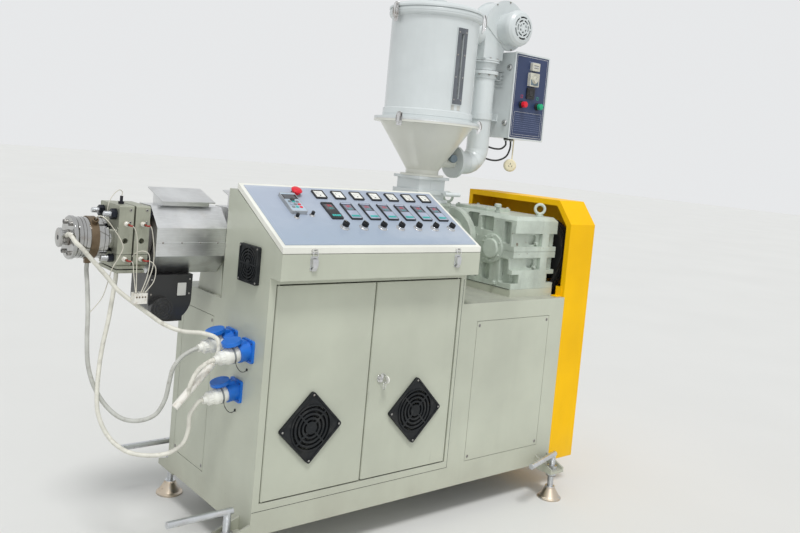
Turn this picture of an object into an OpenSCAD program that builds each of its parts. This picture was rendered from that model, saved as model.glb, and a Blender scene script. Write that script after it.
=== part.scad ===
// Plastic extruder line unit: base with control cabinet, heated barrel, gearbox, belt drive and hopper dryer.
// X runs along the machine from the die to the belt guard, Y from front to rear, Z up from the floor.

/* [Base] */
// length of the base
base_len = 1456; // [1400:1:1600]
// depth of the base from front to rear
base_depth = 630; // [560:1:720]
// height of the base box
base_h = 717; // [680:1:780]
// height of the base's underside above the floor
base_z = 125; // [110:1:160]
// height of the front beam below the cabinet
beam_h = 80; // [60:1:100]
// sheet thickness of the base
base_wall = 5; // [3:0.5:8]
// front panel, distance from the cabinet's side
front_panel_off = 82; // [40:1:120]
// front panel, width
front_panel_w = 426; // [300:1:460]
// panels, height
panel_h = 557; // [400:1:600]
// panels, lower edge above the base's underside
panel_z = 89; // [60:1:100]
// end panel, width
end_panel_w = 240; // [180:1:250]
// rear panels, width
rear_panel_w = 560; // [400:1:600]

/* [Cabinet] */
// width of the control cabinet
cab_w = 860; // [820:1:900]
// depth of the control cabinet
cab_depth = 310; // [290:1:330]
// sheet thickness of the cabinet
cab_wall = 4; // [2:0.5:6]
// forward reach of the console's lip
lip_reach = 60; // [40:1:100]
// height of the lip's underside above the floor
lip_z = 966; // [955:1:1000]
// height where the lid's skirt ends at the front
skirt_z = 1052; // [1040:1:1062]
// height of the lid's front edge
lid_front_z = 1071; // [1066:1:1090]
// height of the lid's rear edge
lid_rear_z = 1245; // [1230:1:1300]
// depth position of the lid's rear edge
lid_rear_y = 256; // [240:1:270]
// lid sheet
lid_sheet = 4; // [2:0.5:6]

/* [Doors] */
// lower edge of the doors above the floor
door_z = 236; // [226:1:250]
// height of the doors
door_h = 704; // [640:1:710]
// edge of the doors from the cabinet's side
door_inset = 25; // [20:1:40]
// gap round a moving door
door_gap = 5; // [5:0.5:7]
// door thickness
door_t = 18; // [14:1:25]
// door sheet
door_sheet = 3; // [2:0.5:5]
// side of a square fan grille on a door
fan_side = 176; // [120:1:190]
// fan centre height above the floor
fan_z = 460; // [400:1:560]
// fan centre of the left door
fan_left_x = 197; // [180:1:240]
// fan centre of the right door
fan_right_x = 652; // [630:1:680]
// side of the cabinet end's fan grille
end_fan_side = 124; // [92:1:148]
// cabinet end fan centre, depth
end_fan_y = 129; // [100:1:160]
// cabinet end fan centre, height
end_fan_z = 991; // [900:1:1020]
// lock height above the floor
lock_z = 596; // [560:1:700]

/* [Instruments] */
// side of a panel meter's bezel
meter_side = 48; // [40:1:52]
// height of a temperature controller's bezel
controller_h = 96; // [80:1:100]
// spacing of the instrument columns
column_pitch = 82; // [76:1:86]
// first instrument column, distance from the cabinet's side
column_x = 294; // [280:1:310]
// instruments in a row
columns = 7; // [3:1:7]
// meters, distance up the slope
meter_s = 303; // [295:1:310]
// controllers, distance up the slope
controller_s = 204; // [195:1:210]
// knobs, distance up the slope
knob_s = 109; // [90:1:125]
// radius of a knob's chrome ring
knob_r = 16; // [12:0.5:20]
// height of a knob
knob_h = 22; // [15:1:30]
// keypad width
keypad_w = 60; // [50:1:70]
// keypad height
keypad_h = 110; // [90:1:120]

/* [Sockets] */
// side of a power socket's flange
socket_side = 74; // [66:1:80]
// bore radius of a power socket's collar
socket_bore_r = 26; // [22:0.5:30]
// tilt of the sockets below level
socket_tilt = 10; // [5:1:20]
// length of a plug behind its socket
plug_len = 124; // [100:1:140]

/* [Barrel] */
// height of the screw axis
axis_z = 1035; // [1010:1:1060]
// depth position of the screw axis
axis_y = 425; // [415:1:440]
// barrel radius
barrel_r = 45; // [35:1:60]
// left end of the barrel
barrel_x0 = -262; // [-290:1:-255]
// length of one heat shield
shield_len = 255; // [230:1:258]
// half the height of a heat shield
shield_r = 113; // [100:1:120]
// gap between heat shields
shield_gap = 26; // [22:1:28]
// number of heat shields
shields = 4; // [2:1:4]
// first heat shield, left end
shield_x0 = -247; // [-250:1:-240]
// gap of a bearing surface that only rests
seat_gap = 0.3; // [0.2:0.05:0.5]
// cooling blower, housing radius
blower_r = 76; // [60:1:85]

/* [Die] */
// radius of the barrel's end flange
flange_r = 84; // [70:1:84]
// thickness of a heater block along the barrel
block_t = 48; // [40:1:52]
// depth of a heater block from front to rear
block_w = 170; // [150:1:180]
// heater block, height above the screw axis
block_up = 113; // [105:1:118]
// heater block, depth below the screw axis
block_down = 80; // [76:1:85]
// radius of the die body
die_r = 66; // [56:1:68]
// length of the die body
die_len = 96; // [80:1:120]
// radius of the die's front ring
die_ring_r = 70; // [60:1:76]
// radius of the nozzle
nozzle_r = 23; // [16:1:30]
// length of the nozzle
nozzle_len = 30; // [20:1:50]

/* [Feed] */
// feed throat, left end
throat_x0 = 862; // [861:1:866]
// feed throat, length along the barrel
throat_len = 190; // [180:1:200]
// feed throat, depth from front to rear
throat_w = 180; // [170:1:190]
// feed throat, height of its top
throat_top_z = 1197; // [1190:1:1205]
// thrust flange radius
thrust_r = 142; // [120:1:150]
// thrust flange thickness
thrust_t = 28; // [20:1:34]

/* [Gearbox] */
// left face of the gearbox
gear_x0 = 1178; // [1170:1:1185]
// width of the gearbox along the shafts
gear_w = 262; // [250:1:268]
// front face of the gearbox
gear_y0 = 62; // [55:1:70]
// long side of the gearbox
gear_len = 550; // [540:1:560]
// height of the gearbox body
gear_h = 303; // [295:1:310]
// input shaft, depth position
input_y = 183; // [175:1:190]
// input cover radius
cover_r = 61; // [50:1:64]
// radius of the large pulley
pulley_r = 136; // [120:1:138]
// radius of the motor pulley
motor_pulley_r = 60; // [50:1:75]
// number of drive belts
belts = 3; // [1:1:3]
// motor shaft, depth position
motor_y = 330; // [300:1:360]
// motor shaft, height
motor_z = 470; // [440:1:520]

/* [Guard] */
// width of the belt guard
guard_w = 164; // [140:1:190]
// front edge of the belt guard
guard_y0 = 5; // [0:1:10]
// height of the belt guard's top
guard_top_z = 1250; // [1230:1:1300]
// height of the shoulder at the front
guard_shoulder_z = 1154; // [1140:1:1180]
// bevel run at the front
guard_chamfer = 74; // [50:1:85]

/* [Dryer] */
// dryer body radius
dryer_r = 184; // [170:1:195]
// dryer sheet
dryer_sheet = 3; // [2:0.5:5]
// dryer flange height
dryer_flange_z = 1530; // [1515:1:1545]
// dryer flange radius
dryer_flange_r = 223; // [210:1:228]
// dryer body top
dryer_top_z = 1985; // [1960:1:2000]
// cone radius at its lower end
cone_low_r = 70; // [60:1:80]
// cone lower end height
cone_low_z = 1330; // [1322:1:1345]
// side of the slide gate's housing
gate_side = 167; // [150:1:180]
// sight window, lower end
window_z0 = 1606; // [1590:1:1640]
// sight window, upper end
window_z1 = 1915; // [1880:1:1940]

/* [Dryer blower] */
// air duct axis along the machine
duct_x = 1246; // [1240:1:1252]
// air duct axis, depth position
duct_y = 400; // [395:1:410]
// air duct radius
duct_r = 49; // [40:1:52]
// elbow height at the cone
elbow_z = 1374; // [1365:1:1385]
// blower axis along the machine
fan_x = 1317; // [1312:1:1322]
// blower axis height
fan_axis_z = 1976; // [1970:1:1985]
// smallest radius of the blower's scroll
scroll_r0 = 88; // [80:1:92]
// growth of the scroll's radius to its outlet
scroll_rise = 42; // [30:1:46]

/* [Control box] */
// control box, left side
box_x0 = 1333; // [1325:1:1340]
// control box width
box_w = 221; // [200:1:240]
// control box front
box_y0 = 300; // [290:1:305]
// control box depth
box_d = 150; // [130:1:160]
// control box lower edge
box_z0 = 1500; // [1490:1:1520]
// control box height
box_h = 377; // [350:1:385]

/* [Feet] */
// foot bracket width
bracket_w = 80; // [60:1:100]
// distance of a jack screw from the base
foot_out = 62; // [55:1:75]
// cone foot radius
cone_r = 50; // [35:1:54]
// cone foot height
cone_h = 52; // [40:1:60]
// jack screw radius
screw_r = 12; // [8:1:16]
// jack handle length
handle_len = 205; // [150:1:220]

/* [Hidden] */
$fn = 64;
slack = 1;
film_fit = 0.01;
pin_fit = 0.05;
instrument_fit = 0.4;
plug_fit = 0.3;
recess_depth = 18;
socket_wall = 5;
fan_t = 12;
block_gap = 6;
panel_t = 3;
neck_r = 75;
guard_rim = 24;
dryer_flange_t = 10;
web_h = 42;
pulley_w = 66;
lock_off = 48;
end_panel_off = 41;
gear_seat_h = 31;
pocket_depth = 26;
blower_w = 150;
shaft_r = 21;
guard_rear = 4;
elbow_bend = 72;
belt_pitch = 19;
fascia_rim = 14;
under_flange = 50;
fascia_t = 2;
hinge_r = 8;
hinge_inset = 160;
latch_inset = 117;
mount_plate_t = 3;
mount_plate_off = 25;
door_chamfer = 3;
pin_r = 3;
lock_r = 11;
bezel_t = 6;
instrument_depth = 45;
support_t = 16;
shield_t = 3;
flange_t = 12;
adapter_r = 40;
band_w = 25;
band_t = 3;
stud_r = 8;
gear_bevel = 17;
pocket_r = 8;
belt_w = 10;
belt_t = 9;
guard_sheet = 3;
window_w = 52;
window_angle = -94;
duct_wall = 2;
duct_flange_r = 62;
spigot_r = 28;
scroll_w = 90;
cover_dome_r = 78;
foot_plate_t = 12;
handle_r = 11;
pin_inset = 7;
ledge_w = 14;
panel_gap = 2;
rear_panel_inset = 110;
cab_z0 = base_z + beam_h;
base_top = base_z + base_h;
front_panel_x = cab_w + front_panel_off;
end_panel_y = cab_depth + end_panel_off;
cab_rear_z = lid_rear_z - lid_sheet * 2 - 15;
door_x0 = door_inset + door_gap;
door_w = cab_w / 2 - door_x0 - door_gap / 2;
lid_rise = lid_rear_z - lid_front_z;
lid_run = lid_rear_y + lip_reach;
lid_angle = atan2(lid_rise, lid_run);
lid_len = norm([lid_rise, lid_run]);
lid_skirt = lid_front_z - skirt_z;
skirt_gap = 2;
hinge_y = lid_rear_y + 10;
hinge_z = cab_rear_z + 10;
hinge_len = 25;
hinge_side_gap = 0.5;
pin_bite = 16;
fan_hole_share = 0.42;
block2_x0 = barrel_x0 - block_t;
block1_x1 = block2_x0 - block_gap;
block1_x0 = block1_x1 - block_t;
die_plate_t = 16;
die_x1 = block1_x0 - die_plate_t;
die_x0 = die_x1 - die_len;
die_ring_t = 16;
nozzle_x1 = die_x0 - die_ring_t;
tip_x = nozzle_x1 - nozzle_len;
stud_y = 55;
stud_up = 83;
stud_low = 58;
dryer_x = throat_x0 + throat_len / 2;
neck_x1 = gear_x0 - thrust_t;
gear_z0 = base_top + gear_seat_h;
gear_x1 = gear_x0 + gear_w;
guard_x1 = base_len + guard_w;
pulley_x0 = base_len + 10;
duct_top_z = 1776;
input_z = axis_z - 6;
elbow_x1 = duct_x - elbow_bend - 56;
recesses = [[80, 131], [178, 233]];
pockets = [[220, 289, 232, 293], [128, 203, 227, 287], [27, 68, 185, 277], [27, 73, 21, 123],
    [128, 176, 22, 89], [200, 268, 22, 57]];
handle_turn = 15;
keypad_x = 150;
keypad_s = 237;
stop_x = 195;
socket_y = [212, 97, 153];
socket_z = [722, 712, 566];
foot_x = [-foot_out, base_len - 46, 45, base_len - 45];
foot_y = [40, -foot_out, base_depth + foot_out, base_depth + foot_out];
foot_turn = [-90, 0, 180, 180];
handle_z = [210, 185, 210, 210];
handle_a = [180, 180 + handle_turn, 180, 180];
front_reach = foot_out + handle_len * sin(handle_turn) + handle_r * cos(handle_turn);
mid_x = (tip_x + guard_x1) / 2;
mid_y = (base_depth + foot_out + cone_r - front_reach) / 2;

// cable routes as ring centres; a plug's cable starts along the axis of its tilted plug
function plug_start(i) = [for (d = [plug_len, plug_len + 14])
    [-d * cos(socket_tilt), socket_y[i], socket_z[i] - d * sin(socket_tilt)]];
band_foot = [(die_x0 + die_x1) / 2 + 2, axis_y, axis_z - die_r - seat_gap - 16];
bar_foot = [block1_x0 + 19, axis_y - 41, axis_z - block_down - 25];
die_route = [[-502.5, 403.1, 1043], [-503, 381, 1051], [-502, 357, 1047], [-494, 343, 1032],
    [-473, 338, 1012], [-449, 334, 984], [-420, 330, 952], [-389, 326, 917], [-358, 321, 880],
    [-311, 311, 842], [-257, 298, 801], [-213, 280, 770], [-165, 250, 752], [-112, 204, 752],
    [-84, 162, 742], [-84, 142, 712], [-100, 134, 676]];
route_a = concat(plug_start(0), [[-172, 216, 678], [-198, 223, 640], [-206, 228, 590], [-212, 236, 535],
    [-234, 249, 485], [-277, 273, 462], [-325, 304, 467], [-368, 332, 506], [-402, 350, 565],
    [-423, 360, 635], [-429, 368, 715], [-428, 380, 800], [-427, 404, 880]],
    [band_foot - [0, 0, 26], band_foot]);
route_b = concat(plug_start(1), [[-168, 104, 664], [-187, 112, 622], [-192, 118, 582]]);
route_c = concat(plug_start(2), [[-159, 159, 500], [-157, 166, 450], [-168, 176, 402], [-206, 196, 370],
    [-262, 227, 361], [-320, 261, 373], [-366, 292, 415], [-393, 318, 478], [-399, 330, 540],
    [-393, 345, 625], [-382, 356, 700], [-366, 364, 780], [-352, 378, 860]],
    [bar_foot - [0, 0, 24], bar_foot]);
duct_route = [[box_x0, 440, 1700], [box_x0 - 18, 440, 1700], [1294, 447, 1680], [1276, 458, 1630],
    [1267, 463, 1565], [1266, 456, 1490], [1284, 446, 1430], [1318, 420, 1403], [1362, 388, 1397],
    [1398, 366, 1418], [box_x0 + 80, box_y0 + 60, 1456], [box_x0 + 80, box_y0 + 60, box_z0 - 12]];
loop_route = [[box_x0, 440, 1670], [box_x0 - 16, 440, 1670], [1300, 445, 1645], [1288, 450, 1590],
    [1286, 447, 1520], [1300, 430, 1472], [1332, 402, 1452], [1364, 374, 1450],
    [box_x0 + 48, box_y0 + 60, 1468], [box_x0 + 48, box_y0 + 60, box_z0 - 12]];
cable_r = 7;
dryer_cable_r = 4;
splice_r = 12;
splice_from = [-97, 134, 680];
splice_to = [-232, 120, 545];

beige = [0.76, 0.78, 0.70];
cream = [0.90, 0.90, 0.84];
fascia_blue = [0.66, 0.75, 0.85];
white = [0.93, 0.93, 0.91];
black = [0.05, 0.05, 0.05];
yellow = [0.93, 0.70, 0.02];
cast = [0.66, 0.70, 0.66];
steel = [0.72, 0.72, 0.70];
dark_steel = [0.25, 0.25, 0.26];
zinc = [0.62, 0.62, 0.55];
blue = [0.05, 0.25, 0.70];
red = [0.80, 0.05, 0.05];
brown = [0.35, 0.25, 0.12];
glass = [0.75, 0.82, 0.85];

// moves the machine's own coordinates to the middle of its overall box in plan
module place() {
    translate([-mid_x, -mid_y, 0]) children();
}

// an extrusion along X of a profile given as [y, z] points
module along_x(x, w) {
    translate([x, 0, 0]) rotate([90, 0, 90]) linear_extrude(w) children();
}

// an extrusion along Y, to the rear, of a profile given as [x, z] points
module along_y(y, w) {
    translate([0, y + w, 0]) rotate([90, 0, 0]) linear_extrude(w) children();
}

// a round bar along X
module bar_x(x, y, z, r, w) {
    translate([x, y, z]) rotate([0, 90, 0]) cylinder(r = r, h = w);
}

// a round bar along Y, to the rear
module bar_y(x, y, z, r, w) {
    translate([x, y, z]) rotate([-90, 0, 0]) cylinder(r = r, h = w);
}

module box_at(x0, x1, y0, y1, z0, z1) {
    translate([x0, y0, z0]) cube([x1 - x0, y1 - y0, z1 - z0]);
}

// a flat rectangle with true round corners, centred on the origin
module round_rect(w, h, r) {
    square([w - 2 * r, h], center = true);
    square([w, h - 2 * r], center = true);
    for (x = [r - w / 2, w / 2 - r], y = [r - h / 2, h / 2 - r]) translate([x, y]) circle(r = r);
}

// one swept tube through the points of a route, with a ring of sides at each point
function unit(v) = v / norm(v);
function tangent(p, i) = unit(p[min(i + 1, len(p) - 1)] - p[max(i - 1, 0)]);
function side_dir(t) = unit(cross(t, [0, 1, 0]));
function ring(p, i, r, sides) = let (t = tangent(p, i), u = side_dir(t), v = cross(t, u))
    [for (k = [0:sides - 1]) p[i] + r * cos(360 * k / sides) * u + r * sin(360 * k / sides) * v];

module tube(p, r, sides) {
    last = len(p) - 1;
    points = [for (i = [0:last], q = ring(p, i, r, sides)) q];
    skin = [for (i = [0:last - 1], k = [0:sides - 1], t = [0, 1])
        let (a = i * sides, b = a + sides, n = (k + 1) % sides)
        t == 0 ? [a + k, a + n, b + n] : [a + k, b + n, b + k]];
    start = [[for (k = [sides - 1:-1:0]) k]];
    end = [[for (k = [0:sides - 1]) last * sides + k]];
    polyhedron(points = points, faces = concat(skin, start, end), convexity = 8);
}

module panel_opening(w, h, depth) {
    translate([ledge_w, -slack, ledge_w]) cube([w - 2 * ledge_w, depth + 2 * slack, h - 2 * ledge_w]);
    translate([0, -slack, 0]) cube([w, panel_t + slack, h]);
}

// places a panel or its opening on the base's front, left end and rear
module on_front() {
    translate([front_panel_x, 0, base_z + panel_z]) children();
}

module on_end() {
    translate([0, end_panel_y + end_panel_w, base_z + panel_z]) rotate([0, 0, -90]) children();
}

module on_rear() {
    for (x = [rear_panel_inset, base_len - rear_panel_inset - rear_panel_w])
        translate([x + rear_panel_w, base_depth, base_z + panel_z]) rotate([0, 0, 180]) children();
}

module base_frame() {
    lip = base_wall + panel_t;
    color(beige) difference() {
        union() {
            box_at(0, base_len, 0, base_depth, base_z, cab_z0);
            box_at(cab_w, base_len, 0, base_depth, base_z, base_top);
            box_at(0, base_len, cab_depth, base_depth, base_z, base_top);
            box_at(gear_x0, gear_x1, gear_y0, gear_y0 + gear_len, base_top - slack, gear_z0);
        }
        box_at(base_wall, base_len - base_wall, base_wall, base_depth - base_wall,
            base_z + base_wall, cab_z0 - base_wall);
        box_at(cab_w + base_wall, base_len - base_wall, lip, base_depth - lip,
            base_z + base_wall, base_top - base_wall);
        box_at(lip, base_len - base_wall, cab_depth + base_wall, base_depth - lip,
            base_z + base_wall, base_top - base_wall);
        on_front() panel_opening(front_panel_w, panel_h, lip);
        on_end() panel_opening(end_panel_w, panel_h, lip);
        on_rear() panel_opening(rear_panel_w, panel_h, lip);
        box_at(under_flange, base_len - under_flange, under_flange, base_depth - under_flange,
            base_z - slack, base_z + base_wall + slack);
        bar_x(base_len - base_wall - slack, motor_y, motor_z, shaft_r + 9, base_wall + 2 * slack);
    }
}

module flat_panel(w, h) {
    translate([panel_gap, 0, panel_gap]) cube([w - 2 * panel_gap, panel_t, h - 2 * panel_gap]);
}

module base_panels() {
    color(beige) {
        on_front() flat_panel(front_panel_w, panel_h);
        on_end() flat_panel(end_panel_w, panel_h);
        on_rear() flat_panel(rear_panel_w, panel_h);
    }
}

// one foot bracket: a drilled plate under the base with two tapered webs
module foot_bracket() {
    half = bracket_w / 2;
    front = -cone_r * 0.6;
    web_t = 8;
    difference() {
        box_at(-half, half, front, foot_out + 40, base_z - foot_plate_t, base_z);
        translate([0, 0, base_z - foot_plate_t - slack])
            cylinder(r = screw_r + seat_gap, h = foot_plate_t + 2 * slack);
    }
    for (x = [-half, half - web_t]) along_x(x, web_t) polygon([
        [front, base_z], [foot_out, base_z], [foot_out, base_z + web_h], [front, base_z + 8]]);
}

module foot_brackets() {
    color(beige) for (i = [0:3])
        translate([foot_x[i], foot_y[i], 0]) rotate([0, 0, foot_turn[i]]) foot_bracket();
}

// one jack: cone foot, screw with two nuts, and the bar that turns it
module levelling_jack(z, a) {
    nut_r = screw_r * 1.7;
    nut_t = 14;
    rotate_extrude() polygon([
        [0, 0], [cone_r, 0], [cone_r, 6], [cone_r - 8, 12], [screw_r + 10, cone_h - 8],
        [screw_r + 8, cone_h], [screw_r, cone_h], [screw_r, z], [0, z]]);
    translate([0, 0, base_z - foot_plate_t - seat_gap - nut_t]) cylinder(r = nut_r, h = nut_t, $fn = 6);
    translate([0, 0, base_z + seat_gap]) cylinder(r = nut_r, h = nut_t, $fn = 6);
    translate([0, 0, z]) rotate([0, 0, a]) rotate([0, 90, 0]) translate([0, 0, -screw_r - 5])
        cylinder(r = handle_r, h = handle_len + screw_r + 5);
}

module levelling_jacks() {
    color(zinc) for (i = [0:3]) translate([foot_x[i], foot_y[i], 0]) levelling_jack(handle_z[i], handle_a[i]);
}

module door_pin(x) {
    for (z = [door_z - door_gap, door_z + door_h - pin_bite])
        translate([x, pin_inset, z - slack]) cylinder(r = pin_r, h = door_gap + pin_bite + slack);
}

// one hinge of the console lid: two knuckles with a pin on the cabinet
module lid_hinge_fixed() {
    for (x = [-hinge_len, hinge_len + 2 * hinge_side_gap]) translate([x, 0, 0]) {
        bar_x(0, hinge_y, hinge_z, hinge_r, hinge_len);
        box_at(0, hinge_len, hinge_y - hinge_r, hinge_y + hinge_r, cab_rear_z, hinge_z);
    }
    bar_x(-slack, hinge_y, hinge_z, pin_r, hinge_len + 2 * hinge_side_gap + 2 * slack);
}

module at_lid_hinges() {
    for (x = [hinge_inset, cab_w - hinge_inset - hinge_len]) translate([x, 0, 0]) children();
}

module cabinet_body() {
    front = door_t + door_gap;
    color(beige) {
        difference() {
            along_x(0, cab_w) polygon([
                [0, cab_z0], [cab_depth, cab_z0], [cab_depth, cab_rear_z], [lid_rear_y, cab_rear_z],
                [-lip_reach, skirt_z - skirt_gap], [-lip_reach, lip_z], [0, lip_z]]);
            along_x(cab_wall, cab_w - 2 * cab_wall) polygon([
                [front, cab_z0 + cab_wall], [cab_depth - cab_wall, cab_z0 + cab_wall],
                [cab_depth - cab_wall, cab_rear_z - cab_wall], [lid_rear_y - 2, cab_rear_z - cab_wall],
                [lid_rear_y - 22, cab_rear_z + 60], [cab_wall - lip_reach, skirt_z + 60],
                [cab_wall - lip_reach, lip_z + cab_wall], [front, lip_z + cab_wall]]);
            box_at(door_inset, cab_w - door_inset, -slack, front + slack, door_z - door_gap,
                door_z + door_h + door_gap);
            bar_x(-slack, end_fan_y, end_fan_z, end_fan_side * fan_hole_share, cab_wall + 2 * slack);
        }
        door_pin(door_x0 + pin_inset);
        door_pin(cab_w - door_x0 - pin_inset);
        at_lid_hinges() lid_hinge_fixed();
    }
}

module mounting_plate() {
    rear = cab_depth - cab_wall;
    edge = 60;
    color(zinc) {
        box_at(edge, cab_w - edge, rear - mount_plate_off - mount_plate_t, rear - mount_plate_off,
            door_z + edge, door_z + door_h - edge);
        for (x = [edge + 20, cab_w - edge - 20], z = [door_z + edge + 20, door_z + door_h - edge - 20])
            bar_y(x, rear - mount_plate_off, z, 8, mount_plate_off);
    }
}

module door_outline(w) {
    polygon([[door_chamfer, 0], [w - door_chamfer, 0], [w, door_chamfer],
        [w, door_t], [0, door_t], [0, door_chamfer]]);
}

// a folded door tray with corner blocks bored for the hinge pins
module door_shell(x, hinge_x) {
    half = pin_inset + pin_r + 2;
    corner = [max(x, hinge_x - half), min(x + door_w, hinge_x + half)];
    difference() {
        union() {
            difference() {
                translate([x, 0, door_z]) linear_extrude(door_h) door_outline(door_w);
                translate([x + door_sheet, door_sheet, door_z + door_sheet])
                    cube([door_w - 2 * door_sheet, door_t, door_h - 2 * door_sheet]);
            }
            for (z = [door_z, door_z + door_h - pin_bite - 4]) intersection() {
                box_at(corner[0], corner[1], 0, door_t, z, z + pin_bite + 4);
                translate([x, 0, door_z]) linear_extrude(door_h) door_outline(door_w);
            }
        }
        for (z = [door_z - slack, door_z + door_h - pin_bite - slack])
            translate([hinge_x, pin_inset, z]) cylinder(r = pin_r + pin_fit, h = pin_bite + 2 * slack);
    }
}

module left_door() {
    color(beige) difference() {
        door_shell(door_x0, door_x0 + pin_inset);
        bar_y(fan_left_x, -slack, fan_z, fan_side * fan_hole_share, door_t);
    }
}

module right_door() {
    color(beige) difference() {
        door_shell(cab_w - door_x0 - door_w, cab_w - door_x0 - pin_inset);
        bar_y(fan_right_x, -slack, fan_z, fan_side * fan_hole_share, door_t);
        bar_y(cab_w / 2 + door_gap / 2 + lock_off, -slack, lock_z, lock_r + seat_gap, door_t);
    }
}

// a moulded fan guard: rings of slots cut between four spokes round a closed hub
module fan_grille(side, t) {
    ring_w = side * 0.045;
    difference() {
        linear_extrude(t) round_rect(side, side, side * 0.05);
        translate([0, 0, t - 3]) difference() {
            linear_extrude(3 + slack) square(side - 12, center = true);
            translate([0, 0, -slack]) cylinder(r = side * 0.45, h = 5 + slack);
        }
        for (i = [1:4]) translate([0, 0, -slack]) linear_extrude(t + 2 * slack) difference() {
            circle(r = side * (0.06 + 0.085 * i) + ring_w / 2);
            circle(r = side * (0.06 + 0.085 * i) - ring_w / 2);
            for (a = [0, 90]) rotate(a) square([2 * side, side * 0.035], center = true);
        }
    }
}

module left_door_grille() {
    color(black) translate([fan_left_x, 0, fan_z]) rotate([90, 45, 0]) fan_grille(fan_side, fan_t);
}

module right_door_grille() {
    color(black) translate([fan_right_x, 0, fan_z]) rotate([90, 45, 0]) fan_grille(fan_side, fan_t);
}

module end_grille() {
    color(black) translate([0, end_fan_y, end_fan_z]) rotate([0, -90, 0]) fan_grille(end_fan_side, fan_t);
}

// cam lock with its key and key ring
module door_lock() {
    x = cab_w / 2 + door_gap / 2 + lock_off;
    flange_t = 4;
    key_t = 2.5;
    ring_r = 13;
    color(steel) {
        bar_y(x, 0, lock_z, lock_r, door_t + 8);
        bar_y(x, -flange_t, lock_z, lock_r + 4, flange_t);
        box_at(x - 12, x + 34, door_t + 2, door_t + 5, lock_z - 9, lock_z + 9);
        box_at(x - key_t / 2, x + key_t / 2, -flange_t - 14, -flange_t, lock_z - 4, lock_z + 4);
        translate([x - key_t / 2, -flange_t - 24, lock_z]) rotate([0, 90, 0]) difference() {
            cylinder(r = 12, h = key_t);
            translate([5, 0, -slack]) cylinder(r = 3.5, h = key_t + 2 * slack);
        }
        translate([x, -flange_t - 24, lock_z - 7 - ring_r]) rotate([90, 0, 30]) rotate_extrude()
            translate([ring_r, 0]) circle(r = 1.2, $fn = 16);
    }
}

module on_lid() {
    translate([0, -lip_reach, lid_front_z]) rotate([lid_angle, 0, 0]) children();
}

// a cut through the lid and the fascia at a place on the slope
module lid_cut(w, h) {
    translate([-w / 2, -h / 2, -2 * lid_sheet - slack]) cube([w, h, 2 * lid_sheet + fascia_t + 3 * slack]);
}

function col_x(i) = column_x + i * column_pitch;

module instrument_cuts() {
    for (i = [0:columns - 1]) {
        on_lid() translate([col_x(i), meter_s, 0]) lid_cut(meter_side - 4, meter_side - 4);
        on_lid() translate([col_x(i), controller_s, 0])
            lid_cut(meter_side - 4, controller_h - 4);
        on_lid() translate([col_x(i), knob_s, -30]) cylinder(r = 6, h = 60);
    }
    on_lid() translate([keypad_x, keypad_s, 0]) lid_cut(keypad_w - 8, keypad_h - 8);
    on_lid() translate([stop_x, meter_s, -30]) cylinder(r = 11, h = 60);
}

module lid_side(inset, drop, top) {
    polygon([
        [inset - lip_reach, skirt_z - drop], [lid_rear_y - inset, lid_rear_z - lid_skirt - drop],
        [lid_rear_y - inset, lid_rear_z - top], [inset - lip_reach, lid_front_z - top]]);
}

module console_lid() {
    catch_x = [latch_inset, cab_w - latch_inset];
    color(cream) difference() {
        union() {
            difference() {
                along_x(0, cab_w) lid_side(0, 0, 0);
                along_x(lid_sheet, cab_w - 2 * lid_sheet) lid_side(lid_sheet, 12, lid_sheet / cos(lid_angle));
            }
            at_lid_hinges() {
                bar_x(hinge_side_gap, hinge_y, hinge_z, hinge_r, hinge_len);
                box_at(hinge_side_gap, hinge_side_gap + hinge_len, lid_rear_y - lid_sheet, hinge_y, hinge_z,
                    hinge_z + hinge_r);
            }
            for (x = catch_x) box_at(x - 9, x + 9, -lip_reach - 5, -lip_reach, skirt_z + 6, skirt_z + 14);
        }
        at_lid_hinges() bar_x(-slack, hinge_y, hinge_z, pin_r + pin_fit, hinge_len + 3 * slack);
        instrument_cuts();
    }
}

module fascia_panel() {
    color(fascia_blue) difference() {
        on_lid() translate([fascia_rim, fascia_rim, film_fit])
            cube([cab_w - 2 * fascia_rim, lid_len - 2 * fascia_rim, fascia_t - film_fit]);
        instrument_cuts();
    }
}

// an instrument with a raised bezel round a sunk window, and its body behind the panel
module instrument(w, h, window_w, window_h, window_up) {
    body_w = w - 4 - 2 * instrument_fit;
    body_h = h - 4 - 2 * instrument_fit;
    difference() {
        union() {
            linear_extrude(bezel_t) round_rect(w, h, 3);
            translate([-body_w / 2, -body_h / 2, -instrument_depth])
                cube([body_w, body_h, instrument_depth + slack]);
        }
        translate([-window_w / 2, window_up - window_h / 2, bezel_t - 2.5]) cube([window_w, window_h, 4]);
    }
}

module panel_instruments() {
    key_r = 3;
    color(black) for (i = [0:columns - 1]) on_lid() translate([col_x(i), 0, fascia_t]) {
        translate([0, meter_s, 0]) instrument(meter_side, meter_side, meter_side - 10, meter_side - 10, 0);
        translate([0, controller_s, 0]) {
            instrument(meter_side, controller_h, meter_side - 10, controller_h * 0.36, controller_h * 0.22);
            for (k = [-1.5:1:1.5]) translate([k * 9, -controller_h * 0.32, bezel_t - slack])
                cylinder(r = key_r, h = slack + 1.5);
        }
    }
    color(black) on_lid() translate([keypad_x, keypad_s, fascia_t]) {
        difference() {
            union() {
                linear_extrude(12) round_rect(keypad_w, keypad_h, 5);
                translate([4.4 - keypad_w / 2, 4.4 - keypad_h / 2, -30])
                    cube([keypad_w - 8.8, keypad_h - 8.8, 32]);
            }
            translate([-keypad_w * 0.38, keypad_h * 0.18, 10]) cube([keypad_w * 0.76, keypad_h * 0.22, 3]);
        }
        for (x = [-1:1], y = [-2:0]) translate([x * 15 - 5, y * 16 - 4, 11]) cube([10, 8, 3]);
        translate([0, 10, 11]) cylinder(r = 7, h = 6);
    }
}

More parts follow.
